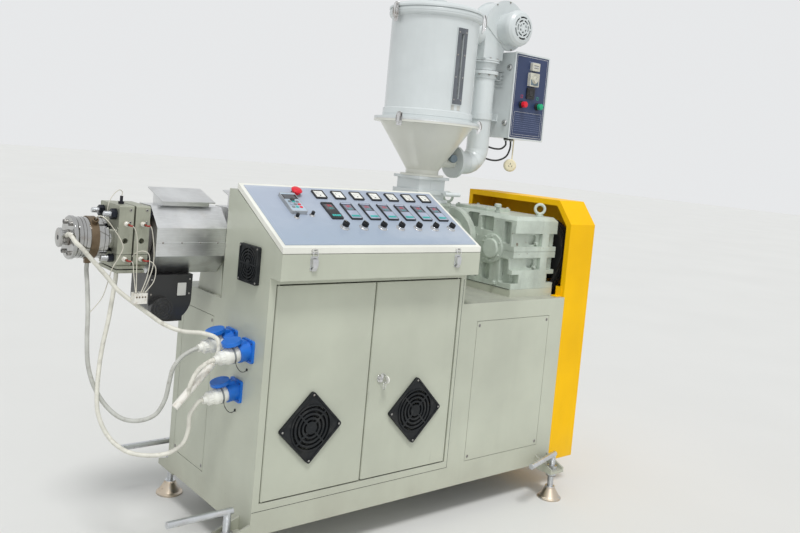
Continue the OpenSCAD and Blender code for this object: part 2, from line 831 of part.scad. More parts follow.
// a pointer knob on a chrome ring, with its spindle through the panel
module selector_knob(r, h) {
    rotate_extrude() polygon([
        [0, -25], [5, -25], [5, 0], [r, 0], [r, 1.5], [r - 1.5, 3], [r * 0.78, 3], [r * 0.7, h - 1.5],
        [r * 0.7 - 1.5, h], [0, h]]);
    translate([-r * 0.16, -r * 0.66, h - 4]) cube([r * 0.32, r * 1.32, 7]);
}

module selector_knobs() {
    toggles = [[130, 162], [198, 176]];
    color(black) {
        for (i = [0:columns - 1]) on_lid() translate([col_x(i), knob_s, fascia_t])
            selector_knob(knob_r, knob_h);
        for (t = toggles) on_lid() translate([t[0], t[1], fascia_t]) {
            cylinder(r = 9, h = 3);
            cylinder(r = 6, h = 16);
        }
    }
}

module stop_button() {
    color(red) on_lid() translate([stop_x, meter_s, fascia_t]) rotate_extrude() polygon([
        [0, -28], [10.5, -28], [10.5, 0], [17, 0], [17, 5], [11, 6], [11, 12], [19, 14], [20, 18],
        [16, 22], [8, 24], [0, 24.5]]);
}

// a draw latch on the lip: base plate, side cheeks and lever
module lid_latches() {
    front = -lip_reach;
    top = skirt_z - 8;
    color(steel) for (x = [latch_inset, cab_w - latch_inset]) {
        box_at(x - 13, x + 13, front - 2, front, top - 46, top);
        for (dx = [-11, 8]) along_x(x + dx, 3) polygon([
            [front - 2, top - 40], [front - 12, top - 30], [front - 12, top - 12], [front - 2, top - 4]]);
        along_x(x - 8, 16) polygon([
            [front - 2, top - 44], [front - 6, top - 48], [front - 13, top - 36], [front - 13, top - 8],
            [front - 9, top - 8], [front - 9, top - 34]]);
    }
}

// places a socket or plug: local Z points out of the cabinet's end, tilted down; local X points up
module at_sockets() {
    for (i = [0:2]) translate([0, socket_y[i], socket_z[i]]) rotate([0, -90, 0]) children();
}

// flanged power socket with its sprung cap open above the plug
module power_socket() {
    outer_r = socket_bore_r + socket_wall;
    flange_t = 8;
    collar = 42;
    lid_r = outer_r + 1;
    translate([0, 0, 0]) linear_extrude(flange_t) difference() {
        round_rect(socket_side, socket_side, 8);
        for (x = [-1, 1], y = [-1, 1]) translate([x, y] * (socket_side / 2 - 9)) circle(r = 3);
    }
    difference() {
        intersection() {
            rotate([0, -socket_tilt, 0]) translate([0, 0, -20]) cylinder(r = outer_r, h = 20 + collar);
            translate([-60, -60, 0]) cube(120);
        }
        rotate([0, -socket_tilt, 0]) translate([0, 0, 14]) cylinder(r = socket_bore_r, h = collar);
    }
    rotate([0, -socket_tilt, 0]) {
        translate([outer_r - 4, -12, 12]) cube([12, 24, 20]);
        translate([outer_r + 6, 0, 58]) rotate([0, 84, 0]) difference() {
            cylinder(r = lid_r, h = 12);
            translate([0, 0, -slack]) cylinder(r = lid_r - 4, h = 8);
        }
        translate([outer_r + 2, -10, 24]) cube([10, 20, 14]);
    }
}

module power_sockets() {
    color(blue) at_sockets() power_socket();
}

// moulded plug: nose in the socket, grip, ribbed nut and cable gland
module power_plugs() {
    nose = socket_bore_r - plug_fit;
    color(white) at_sockets() rotate([0, -socket_tilt, 0]) rotate_extrude() polygon([
        [0, 14 + plug_fit], [nose, 14 + plug_fit], [nose, 44], [nose + 1, 46], [nose + 1, 78],
        [nose - 3, 88], [nose - 5, 90], [nose - 5, 108], [cable_r + 7, 112], [cable_r + 5, plug_len],
        [0, plug_len]]);
}

// barrel tube with the bolted flange at its left end
module barrel() {
    color(steel) {
        bar_x(barrel_x0, axis_y, axis_z, barrel_r, throat_x0 - barrel_x0);
        bar_x(barrel_x0, axis_y, axis_z, flange_r, flange_t);
    }
}

// one octagonal sheet shield in two halves, open at its vent
module shield_at(x) {
    corner_r = shield_r / cos(22.5);
    mid = x + shield_len / 2;
    roof = axis_z + shield_r;
    vent_half = shield_len * 0.33;
    translate([x, axis_y, axis_z]) rotate([0, 90, 0]) rotate([0, 0, 22.5]) difference() {
        cylinder(r = corner_r, h = shield_len, $fn = 8);
        translate([0, 0, shield_t]) cylinder(r = corner_r - shield_t, h = shield_len - 2 * shield_t, $fn = 8);
        translate([0, 0, -slack]) cylinder(r = barrel_r + seat_gap, h = shield_len + 2 * slack);
    }
    for (y = [axis_y - shield_r - 2, axis_y + shield_r])
        box_at(x, x + shield_len, y, y + 2, axis_z - 4, axis_z);
    // sloping hood of the warm air vent
    difference() {
        along_x(mid - vent_half, 2 * vent_half) polygon([
            [axis_y - 40, roof - 1], [axis_y + 40, roof - 1],
                [axis_y + 40, roof + 44], [axis_y - 40, roof + 20]]);
        along_x(mid - vent_half + shield_t, 2 * vent_half - 2 * shield_t) polygon([
            [axis_y - 40 + shield_t, roof + slack], [axis_y + 40 - shield_t, roof + slack],
            [axis_y + 40 - shield_t, roof + 40], [axis_y - 40 + shield_t, roof + 17]]);
    }
    along_x(mid - vent_half - 12, 2 * vent_half + 24) polygon([
        [axis_y - 62, roof + 13], [axis_y + 62, roof + 50],
        [axis_y + 62, roof + 54], [axis_y - 62, roof + 17]]);
}

module heat_shields() {
    color(steel) for (i = [0:shields - 1]) shield_at(shield_x0 + i * (shield_len + shield_gap));
}

// saddles between the shields, and the air ducts of the hidden zones
module barrel_supports() {
    pitch = shield_len + shield_gap;
    duct_top = axis_z - shield_r - seat_gap;
    color(beige) {
        for (i = [1:shields - 1]) {
            x = shield_x0 + i * pitch - shield_gap / 2 - support_t / 2;
            difference() {
                along_x(x, support_t) polygon([
                    [axis_y - 90, base_top], [axis_y + 90, base_top],
                    [axis_y + 66, axis_z], [axis_y - 66, axis_z]]);
                bar_x(x - slack, axis_y, axis_z, barrel_r + seat_gap, support_t + 2 * slack);
            }
        }
        for (i = [1:shields - 1]) {
            mid = shield_x0 + i * pitch + shield_len / 2;
            difference() {
                box_at(mid - 60, mid + 60, axis_y - 40, axis_y + 40, base_top, duct_top);
                box_at(mid - 57, mid + 57, axis_y - 37, axis_y + 37, base_top - slack, duct_top + slack);
            }
        }
    }
}

// fan below the first zone: round housing with a square outlet, drum motor at its side
module cooling_blower() {
    x = shield_x0 + 76;
    z = axis_z - shield_r - seat_gap - blower_r - 6;
    y = axis_y - blower_w / 2 - 5;
    top = axis_z - shield_r - seat_gap;
    color(black) {
        along_y(y, blower_w) {
            translate([x, z]) circle(r = blower_r);
            translate([x - blower_r, z]) square([2 * blower_r, top - z]);
            translate([x, z - blower_r]) square([blower_r * 0.62, blower_r]);
        }
        bar_y(x - blower_r * 0.45, y - 22, z - blower_r * 0.4, blower_r * 0.52, 24);
        bar_y(x, y + blower_w - slack, z, blower_r * 0.66, 40);
        translate([x + blower_r * 0.28, y - 2, z + blower_r * 0.1]) cube([34, 3, 46]);
    }
}

// heater blocks clamped round the adapter, with cartridge bores and two clamp bars below
module heater_blocks() {
    y0 = axis_y - block_w / 2;
    y1 = axis_y + block_w / 2;
    z0 = axis_z - block_down;
    z1 = axis_z + block_up;
    edge = 4;
    color(steel) {
        for (x = [block1_x0, block2_x0]) difference() {
            translate([x, 0, 0]) along_x(0, block_t) polygon([
                [y0 + edge, z0], [y1 - edge, z0], [y1, z0 + edge], [y1, z1 - edge], [y1 - edge, z1],
                [y0 + edge, z1], [y0, z1 - edge], [y0, z0 + edge]]);
            bar_x(x - slack, axis_y, axis_z, adapter_r + seat_gap, block_t + 2 * slack);
            bar_y(x + block_t / 2, y0 - slack, axis_z, 9, 30);
            for (y = [-stud_y, stud_y], z = [stud_up, -stud_low])
                bar_x(x - slack, axis_y + y, axis_z + z, stud_r + seat_gap, block_t + 2 * slack);
            box_at(x - slack, x + block_t + slack, y0 - slack, axis_y - adapter_r + 4,
                axis_z - 45, axis_z - 43.5);
        }
        for (z = [z0 - 11, z0 - 25])
            box_at(block1_x0 + 5, block2_x0 + block_t - 5, y0 + 5, y1 - 5, z, z + 10);
        for (x = [block1_x0 + 20, block2_x0 + 26], y = [y0 + 18, y1 - 30])
            box_at(x, x + 12, y, y + 12, z0 - 26, z0 + slack);
    }
}

// porcelain terminals of the cartridge heaters
module heater_terminals() {
    y0 = axis_y - block_w / 2;
    color(white) for (x = [block1_x0, block2_x0], z = [block_up - 58, 22 - block_down])
        translate([x + block_t / 2, y0, axis_z + z]) rotate([90, 0, 0]) rotate_extrude() polygon([
            [0, 0], [8, 0], [8, 8], [6, 10], [6, 20], [4, 22], [0, 22]]);
}

// die: adapter, mounting plate, body, front ring and nozzle, turned on the screw axis
module die_head() {
    back = barrel_x0 - tip_x;
    plate = block1_x0 - tip_x;
    body1 = die_x1 - tip_x;
    body0 = die_x0 - tip_x;
    ring0 = nozzle_x1 - tip_x;
    plate_r = 58;
    disc_t = 9;
    bore_r = 8;
    color(steel) translate([tip_x, axis_y, axis_z]) rotate([0, 90, 0]) rotate_extrude() polygon([
        [bore_r, 0], [nozzle_r + 6, 0], [nozzle_r + 8, 2], [nozzle_r + 8, disc_t - 2], [nozzle_r + 6, disc_t],
        [nozzle_r, disc_t], [nozzle_r, ring0], [die_ring_r - 3, ring0], [die_ring_r, ring0 + 3],
        [die_ring_r, body0 - 4], [die_ring_r - 3, body0 - 1], [die_r - 3, body0 - 1], [die_r, body0 + 2],
        [die_r, body1 - 4], [die_r - 3, body1 - 1], [plate_r, body1 - 1], [plate_r, plate],
        [adapter_r, plate], [adapter_r, back], [0, back], [0, 40], [bore_r, 40]]);
}

// heater band round the die with its terminal port
module die_band() {
    x = (die_x0 + die_x1) / 2 - band_w / 2 + 2;
    inner = die_r + seat_gap;
    port_r = 10;
    color(brown) difference() {
        union() {
            bar_x(x, axis_y, axis_z, inner + band_t, band_w);
            translate([x + band_w / 2, axis_y, axis_z]) rotate([40, 0, 0]) translate([0, 0, inner - 2])
                cylinder(r = port_r, h = 20);
            box_at(x + 3, x + band_w - 3, axis_y - 7, axis_y + 7, axis_z - inner - 16, axis_z - inner);
        }
        bar_x(x - slack, axis_y, axis_z, inner, band_w + 2 * slack);
        translate([x + band_w / 2, axis_y, axis_z]) rotate([40, 0, 0]) translate([0, 0, inner + 6])
            cylinder(r = port_r - 4, h = 20);
    }
}

module nut_x(x, y, z, r, t) {
    translate([x, y, z]) rotate([0, 90, 0]) cylinder(r = r, h = t, $fn = 6);
}

// studs and nuts through the heater blocks, the ring's cap screws, and the melt probe
module clamp_bolts() {
    nut_r = 18;
    nut_t = 17;
    out = 22;
    x1 = barrel_x0 + flange_t;
    color(dark_steel) {
        for (y = [-stud_y, stud_y]) {
            bar_x(block1_x0 - nut_t - out, axis_y + y, axis_z + stud_up, stud_r,
                x1 - block1_x0 + nut_t + out);
            nut_x(block1_x0 - nut_t, axis_y + y, axis_z + stud_up, nut_r, nut_t);
            nut_x(barrel_x0, axis_y + y, axis_z + stud_up, 15, flange_t);
            bar_x(block1_x0 - nut_t - out, axis_y + y, axis_z - stud_low, stud_r,
                barrel_x0 - block1_x0 + nut_t + out);
            nut_x(block1_x0 - nut_t, axis_y + y, axis_z - stud_low, 13.5, nut_t);
        }
        for (a = [30:60:330]) translate([nozzle_x1, axis_y, axis_z]) rotate([a, 0, 0]) translate([-8, 0, 54])
            rotate([0, 90, 0]) cylinder(r = 7, h = 8);
        translate([block1_x0 + 28, axis_y - 20, axis_z + block_up]) {
            cylinder(r = 10, h = 8, $fn = 6);
            cylinder(r = 5, h = 26);
        }
    }
}

// water-cooled throat casting with its neck to the gearbox
module feed_throat() {
    x1 = throat_x0 + throat_len;
    y0 = axis_y - throat_w / 2;
    port = gate_side - 40;
    color(cast) difference() {
        union() {
            box_at(throat_x0, x1, y0, y0 + throat_w, axis_z - 95, throat_top_z - 14);
            box_at(throat_x0, x1, y0 - 4, y0 + throat_w + 4, throat_top_z - 14, throat_top_z);
            box_at(throat_x0 + 20, x1 - 20, y0 + 10, y0 + throat_w - 10, base_top, axis_z - 94);
            bar_x(x1 - slack, axis_y, axis_z, neck_r, neck_x1 - x1 + slack);
            bar_x(neck_x1 - 20, axis_y, axis_z, neck_r + 25, 20);
        }
        translate([dryer_x, axis_y, axis_z]) cylinder(r = port * 0.36, h = throat_top_z - axis_z + slack);
        for (z = [axis_z - 60, axis_z + 70]) bar_y(throat_x0 + 40, y0 - slack, z, 9, 20);
    }
}

// places a pocket cut in the gearbox's left face, given by its corners in Y and Z
module pocket(y0, y1, z0, z1) {
    translate([gear_x0 - slack, (y0 + y1) / 2, (z0 + z1) / 2]) rotate([90, 0, 90])
        linear_extrude(pocket_depth + slack) round_rect(y1 - y0, z1 - z0, pocket_r);
}

// bands, recesses and bevelled top of the cast housing, for one recess depth
module gearbox_shell() {
    z1 = gear_z0 + gear_h;
    bevel_z = z1 - gear_bevel;
    y1 = gear_y0 + gear_len;
    difference() {
        union() {
            box_at(gear_x0, gear_x1, gear_y0, y1, gear_z0, bevel_z);
            along_y(gear_y0, gear_len) polygon([
                [gear_x0, bevel_z - slack], [gear_x1, bevel_z - slack],
                [gear_x1 - gear_bevel, z1], [gear_x0 + gear_bevel, z1]]);
        }
        along_x(gear_x0 - slack, gear_w + 2 * slack) polygon([
            [gear_y0 - slack, bevel_z], [gear_y0 + gear_bevel, z1 + slack], [gear_y0 - slack, z1 + slack]]);
        along_x(gear_x0 - slack, gear_w + 2 * slack) polygon([
            [y1 + slack, bevel_z], [y1 + slack, z1 + slack], [y1 - gear_bevel, z1 + slack]]);
    }
}

module gearbox_housing() {
    y1 = gear_y0 + gear_len;
    split_z = input_z;
    color(cast) difference() {
        gearbox_shell();
        // recesses round the front, right and rear between the bands
        for (q = recesses, r = [[gear_z0 + q[0], gear_z0 + q[1]]]) {
            box_at(gear_x0 - slack, gear_x0 + 170, gear_y0 - slack, gear_y0 + recess_depth, r[0], r[1]);
            box_at(gear_x0 + 212, gear_x1 + slack, gear_y0 - slack, gear_y0 + recess_depth, r[0], r[1]);
            box_at(gear_x0 + 30, gear_x0 + 118, y1 - recess_depth, y1 + slack, r[0], r[1]);
            box_at(gear_x0 + 144, gear_x1 - 30, y1 - recess_depth, y1 + slack, r[0], r[1]);
            for (y = [gear_y0 + 250, gear_y0 + 400]) box_at(gear_x1 - recess_depth, gear_x1 + slack,
                y, y + 120, r[0], r[1]);
            // rounded windows in the front recess
            translate([gear_x0 + 126, gear_y0 + recess_depth - slack, (r[0] + r[1]) / 2]) rotate([-90, 0, 0])
                linear_extrude(12) round_rect(44, r[1] - r[0] - 14, 12);
        }
        // pockets of the left face
        for (p = pockets) pocket(gear_y0 + p[0], gear_y0 + p[1], gear_z0 + p[2], gear_z0 + p[3]);
        // joint line between the lower and the upper casting
        difference() {
            box_at(gear_x0 - slack, gear_x1 + slack, gear_y0 - slack, y1 + slack, split_z, split_z + 1.5);
            box_at(gear_x0 + 1.5, gear_x1 - 1.5, gear_y0 + 1.5, y1 - 1.5, split_z - slack, split_z + 3);
        }
        // foot notches at the corners
        for (x = [gear_x0 - slack, gear_x1 - 44], y = [gear_y0 - slack, y1 - 34])
            box_at(x, x + 45, y, y + 35, gear_z0 + 24, gear_z0 + 62);
        // seats of the input shaft and the thrust flange
        bar_x(gear_x1 - 12, input_y, input_z, shaft_r + 1, 14);
    }
}

// bearing covers, thrust flange, top cover, breather and lifting eye
module gearbox_covers() {
    z1 = gear_z0 + gear_h;
    eye_r = 20;
    eye_x = gear_x0 + 177;
    eye_y = gear_y0 + 36;
    cover_t = 10;
    color(cast) {
        translate([gear_x0, input_y, input_z]) rotate([0, -90, 0]) rotate_extrude() polygon([
            [0, 0], [cover_r, 0], [cover_r, cover_t - 2], [cover_r - 2, cover_t], [cover_r * 0.68, cover_t],
            [cover_r * 0.66, cover_t + 8], [cover_r * 0.62, cover_t + 10], [0, cover_t + 10]]);
        for (a = [0:60:300]) translate([gear_x0 - cover_t, input_y, input_z]) rotate([a, 0, 0])
            translate([0, 0, cover_r - 10]) rotate([0, -90, 0]) cylinder(r = 5, h = 5, $fn = 6);
        translate([gear_x0, axis_y, axis_z]) rotate([0, -90, 0]) rotate_extrude() polygon([
            [0, 0], [thrust_r, 0], [thrust_r, thrust_t - 6], [thrust_r - 6, thrust_t],
            [0, thrust_t]]);
        translate([gear_x0 + gear_w / 2, gear_y0 + 330, z1]) linear_extrude(12) round_rect(150, 210, 12);
        for (x = [-62, 62], y = [-92, 92])
            translate([gear_x0 + gear_w / 2 + x, gear_y0 + 330 + y, z1 + 12 - slack])
            cylinder(r = 6, h = 6 + slack, $fn = 6);
        translate([gear_x0 + 60, gear_y0 + 170, z1]) rotate_extrude() polygon([
            [0, 0], [12, 0], [12, 8], [7, 8], [7, 20], [15, 22], [15, 34], [11, 38], [0, 38]]);
    }
    color(zinc) for (q = [[eye_x, eye_y], [gear_x0 + 85, gear_y0 + gear_len - 36]])
        translate([q[0], q[1], z1]) {
        cylinder(r = 17, h = 7);
        cylinder(r = 9, h = 14);
        translate([0, 0, eye_r + 12]) rotate([90, 0, -40]) rotate_extrude()
            translate([eye_r, 0]) circle(r = 6);
    }
}

// grooved pulley along X, with a hub
module pulley(x, y, z, r) {
    groove = belt_t + 3;
    first = pulley_w / 2 - belt_pitch * (belts - 1) / 2;
    translate([x, y, z]) rotate([0, 90, 0]) difference() {
        cylinder(r = r, h = pulley_w);
        for (i = [0:belts - 1]) translate([0, 0, first + i * belt_pitch]) rotate_extrude() polygon([
            [r - groove, -belt_w / 2 - 0.5], [r + slack, -belt_w / 2 - 3.5], [r + slack, belt_w / 2 + 3.5],
            [r - groove, belt_w / 2 + 0.5]]);
        translate([0, 0, -slack]) cylinder(r = shaft_r, h = pulley_w + 2 * slack);
        if (r > 100) for (a = [0:60:300]) rotate([0, 0, a]) translate([r * 0.56, 0, -slack])
            cylinder(r = r * 0.16, h = pulley_w + 2 * slack);
    }
}

module drive_pulleys() {
    color(black) {
        pulley(pulley_x0, input_y, input_z, pulley_r);
        bar_x(gear_x1 - 12, input_y, input_z, shaft_r, pulley_x0 + pulley_w + 6 - gear_x1 + 12);
        pulley(pulley_x0, motor_y, motor_z, motor_pulley_r);
        bar_x(base_len - base_wall - 30, motor_y, motor_z, shaft_r,
            pulley_x0 + pulley_w + 6 - base_len + base_wall + 30);
    }
}

// area inside a belt stretched over two wheels, in the plane of the wheels
module belt_area(a, ra, b, rb) {
    d = b - a;
    swing = acos((ra - rb) / norm(d));
    turn = atan2(d[1], d[0]);
    far = [for (s = [-1, 1]) [cos(turn + s * swing), sin(turn + s * swing)]];
    translate(a) circle(r = ra);
    translate(b) circle(r = rb);
    polygon([a + ra * far[0], b + rb * far[0], b + rb * far[1], a + ra * far[1]]);
}

module drive_belts() {
    groove = belt_t + 3;
    first = pulley_w / 2 - belt_pitch * (belts - 1) / 2;
    big = [input_y, input_z];
    small = [motor_y, motor_z];
    inner_big = pulley_r - groove + seat_gap;
    inner_small = motor_pulley_r - groove + seat_gap;
    color(black) for (i = [0:belts - 1])
        along_x(pulley_x0 + first + i * belt_pitch - belt_w / 2, belt_w) difference() {
            belt_area(big, inner_big + belt_t, small, inner_small + belt_t);
            belt_area(big, inner_big, small, inner_small);
        }
}

function guard_profile(inset) = [
    [guard_y0 + inset, base_z + inset], [base_depth + guard_rear - inset, base_z + inset],
    [base_depth + guard_rear - inset, guard_top_z - inset],
    [guard_y0 + guard_chamfer + inset * 0.45, guard_top_z - inset],
    [guard_y0 + inset, guard_shoulder_z - inset * 0.45]];

// sheet guard, closed on its right, with an inward rim round its open left side
module belt_guard() {
    flange = 3;
    color(yellow) {
        difference() {
            along_x(base_len, guard_w) polygon(guard_profile(0));
            along_x(base_len + flange, guard_w - guard_sheet - flange) polygon(guard_profile(guard_sheet));
            along_x(base_len - slack, flange + 2 * slack) polygon(guard_profile(guard_rim));
        }
        box_at(base_len - 34, base_len + slack, guard_y0 + 14, guard_y0 + 44, base_top, base_top + 4);
        box_at(base_len - 4, base_len, guard_y0 + 14, guard_y0 + 44, base_top, base_top + 42);
    }
}

// drying hopper: rolled shell with a rolled rim, a flange, and the frame of its sight window
module dryer_body() {
    h = dryer_top_z - dryer_flange_z;
    inner = dryer_r - dryer_sheet;
    window_h = window_z1 - window_z0;
    color(white) translate([dryer_x, axis_y, dryer_flange_z]) difference() {
        union() {
            rotate_extrude() polygon([
                [inner, 0], [dryer_flange_r, 0], [dryer_flange_r, dryer_flange_t],
                [dryer_r + 6, dryer_flange_t],
                [dryer_r + 6, 46], [dryer_r, 49], [dryer_r, h - 34], [dryer_r + 9, h - 28],
                [dryer_r + 12, h - 22],
                [dryer_r + 12, h - 6], [dryer_r + 9, h], [inner, h]]);
            rotate([0, 0, window_angle]) translate([dryer_r - 14, -window_w / 2, window_z0 - dryer_flange_z])
                cube([18, window_w, window_h]);
            translate([0, duct_y - axis_y, fan_axis_z - 40 - dryer_flange_z]) rotate([0, 90, 0])
                cylinder(r = duct_r - 2, h = fan_x - scroll_r0 - scroll_rise - dryer_x);
        }
        translate([0, 0, -slack]) cylinder(r = inner, h = h + 2 * slack);
        rotate([0, 0, window_angle]) translate([dryer_r - 30, -8, window_z0 - dryer_flange_z + 24])
            cube([60, 16, window_h - 48]);
        translate([0, duct_y - axis_y, fan_axis_z - 40 - dryer_flange_z]) rotate([0, 90, 0])
            cylinder(r = duct_r - 2 - duct_wall, h = 400);
    }
}

// pane behind the sight window's slot
module sight_glass() {
    window_h = window_z1 - window_z0;
    color(glass) intersection() {
        translate([dryer_x, axis_y, 0]) rotate([0, 0, window_angle])
            translate([dryer_r - 22, -16, window_z0 + 14])
            cube([30, 32, window_h - 28]);
        translate([dryer_x, axis_y, window_z0]) difference() {
            cylinder(r = dryer_r - dryer_sheet - seat_gap, h = window_h);
            translate([0, 0, -slack])
                cylinder(r = dryer_r - dryer_sheet - seat_gap - 4, h = window_h + 2 * slack);
        }
    }
}

// domed cover with a rolled edge and a lifting handle
module dryer_lid() {
    z = dryer_top_z + seat_gap;
    r = dryer_r + 14;
    grip_x = [-45, 37];
    color(white) translate([dryer_x, axis_y, z]) {
        rotate_extrude() polygon([
            [0, 0], [r, 0], [r, 8], [r - 3, 11], [r - 12, 11], [r - 22, 22], [120, 34], [60, 38], [0, 38]]);
        for (x = grip_x) translate([x, -6, 36]) cube([8, 12, 26]);
        translate([grip_x[0], -6, 54]) cube([grip_x[1] - grip_x[0] + 8, 12, 8]);
    }
}

module dryer_cone() {
    h = dryer_flange_z - dryer_flange_t - cone_low_z;
    neck = 26;
    color(white) translate([dryer_x, axis_y, cone_low_z]) difference() {
        union() {
            rotate_extrude() polygon([
                [0, -neck], [cone_low_r + 22, -neck], [cone_low_r + 22, 8 - neck], [cone_low_r, 8 - neck],
                [cone_low_r, 0], [dryer_r + 12, h], [dryer_flange_r, h], [dryer_flange_r, h + dryer_flange_t],
                [0, h + dryer_flange_t]]);
            translate([0, duct_y - axis_y, elbow_z - cone_low_z]) rotate([0, 90, 0])
                cylinder(r = spigot_r, h = elbow_x1 - dryer_x - 15);
        }
        translate([0, 0, -neck - slack]) cylinder(r = cone_low_r - 6, h = neck + 2 * slack);
        translate([0, 0, -0.01]) rotate_extrude() polygon([
            [0, 0], [cone_low_r - 5, 0], [dryer_r + 8, h], [dryer_r - dryer_sheet, h + 2],
            [dryer_r - dryer_sheet, h + 30],
            [0, h + 30]]);
    }
}

// slide gate below the cone: square housing, blade slot and lever
module dryer_gate() {
    half = gate_side / 2;
    z1 = cone_low_z - 26;
    blade_z = throat_top_z + 42;
    color(white) translate([dryer_x, axis_y, 0]) {
        difference() {
            union() {
                box_at(-half, half, -half, half, throat_top_z, throat_top_z + 12);
                box_at(12 - half, half - 12, 12 - half, half - 12, throat_top_z + 11, z1 - 11);
                box_at(-half, half, -half, half, blade_z - 9, blade_z + 9);
                box_at(-half, half, -half, half, z1 - 12, z1);
            }
            translate([0, 0, throat_top_z - slack])
            cylinder(r = (gate_side - 40) * 0.36, h = z1 - throat_top_z + 2 * slack);
        }
        box_at(half - 40, half - 16, -half - 62, -half + slack, blade_z - 3, blade_z + 3);
        bar_x(half - 74, -half - 62, blade_z, 9, 82);
    }
}

// an over-centre clamp standing on the hopper's flange joint
module toggle_clamp(r, z, h) {
    translate([r, -12, z]) cube([4, 24, h]);
    translate([r + 3, -3, z + h * 0.15]) cube([10, 6, h * 0.7]);
    translate([r + 9, -7, z + h * 0.25]) cube([5, 14, h * 0.72]);
    translate([r + 7, 9, z + h * 0.3]) rotate([90, 0, 0]) cylinder(r = 5, h = 18);
}

module dryer_clamps() {
    joint_z = dryer_flange_z - dryer_flange_t;
    color(steel) translate([dryer_x, axis_y, 0]) {
        for (a = [-160, -30, 90]) rotate([0, 0, a]) toggle_clamp(dryer_flange_r + seat_gap, joint_z - 18, 52);
        for (a = [175, -35, 70]) rotate([0, 0, a])
            toggle_clamp(dryer_r + 14 + seat_gap, dryer_top_z - 62, 76);
    }
}

// scroll outline in the plane of X and Z: the radius grows evenly from the tongue round to the outlet
function scroll_radius(a) = scroll_r0 + scroll_rise * a / 270;

module dryer_blower() {
    steps = 36;
    left = fan_x - scroll_r0 - scroll_rise;
    flange_t = 8;
    curve = [for (i = [0:steps]) let (a = 270 * i / steps, r = scroll_radius(a))
        [fan_x + r * sin(a), fan_axis_z - r * cos(a)]];
    y0 = duct_y - scroll_w / 2;
    out_z = duct_top_z + 58;
    color(white) {
        along_y(y0, scroll_w) polygon(concat(curve, [
            [left, out_z], [2 * duct_x - left, out_z], [2 * duct_x - left, out_z + 40]]));
        for (y = [y0 - 3, y0 + scroll_w - 1]) along_y(y, 4) offset_scroll(6, steps);
        translate([duct_x, duct_y, duct_top_z + 50]) cylinder(r = duct_flange_r, h = flange_t);
        bar_y(fan_x, y0 - 50, fan_axis_z, cover_dome_r - 8, 50);
        difference() {
            translate([fan_x, y0 - 50, fan_axis_z]) rotate([90, 0, 0]) rotate_extrude() polygon([
                [0, 0], [cover_dome_r, 0], [cover_dome_r, 16],
                [cover_dome_r - 4, 28], [cover_dome_r - 14, 38],
                [cover_dome_r - 30, 43], [0, 45]]);
            translate([fan_x, y0 - 50 - 36, fan_axis_z]) rotate([90, 0, 0]) linear_extrude(14)
                for (q = [[18, 0], [32, 30], [46, 0]]) difference() {
                    circle(r = q[0] + 3.5);
                    circle(r = q[0] - 3.5);
                    for (a = [0, 60, 120]) rotate(a + q[1]) square([200, 8], center = true);
                }
        }
    }
}

// the scroll's side sheet, a little larger than the scroll
module offset_scroll(grow, steps) {
    polygon([for (i = [0:steps]) let (a = 270 * i / steps, r = scroll_radius(a) + grow)
        [fan_x + r * sin(a), fan_axis_z - r * cos(a)]]);
}

// heater pipe with its flanges, elbow to the cone, and two straps that carry the control box
module air_duct() {
    out_r = duct_r;
    bore = duct_r - duct_wall;
    low = elbow_z + elbow_bend;
    strap_x = box_x0 - duct_x;
    color(white) difference() {
        union() {
            translate([duct_x, duct_y, low - 0.01]) cylinder(r = out_r, h = duct_top_z + 50 - low);
            for (z = [duct_top_z - 8, duct_top_z, duct_top_z + 42]) translate([duct_x, duct_y, z])
                cylinder(r = duct_flange_r, h = 8);
            translate([duct_x - elbow_bend, duct_y, low]) rotate([90, 0, 0]) rotate_extrude(angle = -90)
                translate([elbow_bend, 0]) circle(r = out_r);
            bar_x(elbow_x1 - 15, duct_y, elbow_z, out_r, duct_x - elbow_bend - elbow_x1 + 15 + 0.01);
            bar_x(elbow_x1 - 15, duct_y, elbow_z, duct_flange_r + 8, 15);
            for (z = [box_z0 + 70, box_z0 + 250]) translate([duct_x, duct_y, z]) {
                cylinder(r = out_r + 4, h = 30);
                translate([0, -20, 0]) cube([strap_x, 40, 5]);
                translate([strap_x - 5, -20, 0]) cube([5, 40, 30]);
            }
        }
        translate([duct_x, duct_y, low - 0.01]) cylinder(r = bore, h = duct_top_z + 60 - low);
        translate([duct_x - elbow_bend, duct_y, low]) rotate([90, 0, 0]) rotate_extrude(angle = -90)
            translate([elbow_bend, 0]) circle(r = bore);
        bar_x(elbow_x1 - 5, duct_y, elbow_z, bore, duct_x - elbow_bend - elbow_x1 + 5.02);
        bar_x(elbow_x1 - 16, duct_y, elbow_z, spigot_r - 4, 30);
    }
}

// sheet box with a folded rim, louvres, quarter-turn locks and cable glands
module control_box() {
    rim = 7;
    color(white) difference() {
        union() {
            box_at(box_x0, box_x0 + box_w, box_y0 + 4, box_y0 + box_d, box_z0, box_z0 + box_h);
            translate([box_x0 + box_w / 2, box_y0 + 5, box_z0 + box_h / 2]) rotate([90, 0, 0])
                linear_extrude(5) round_rect(box_w + 6, box_h + 6, 6);
            for (z = [box_z0 + 66, box_z0 + box_h - 66]) bar_x(box_x0 - 5, box_y0 + 32, z, 11, 6);
            for (x = [48, 80]) translate([box_x0 + x, box_y0 + 60, box_z0 - 12]) cylinder(r = 9, h = 13);
        }
        translate([box_x0 + box_w / 2, box_y0 + 2, box_z0 + box_h / 2]) rotate([90, 0, 0])
            linear_extrude(5) round_rect(box_w + 6 - 2 * rim, box_h + 6 - 2 * rim, 4);
        for (i = [0:4]) box_at(box_x0 - slack, box_x0 + 4, box_y0 + 66, box_y0 + 108,
            box_z0 + 218 + i * 17, box_z0 + 222 + i * 17);
    }
}

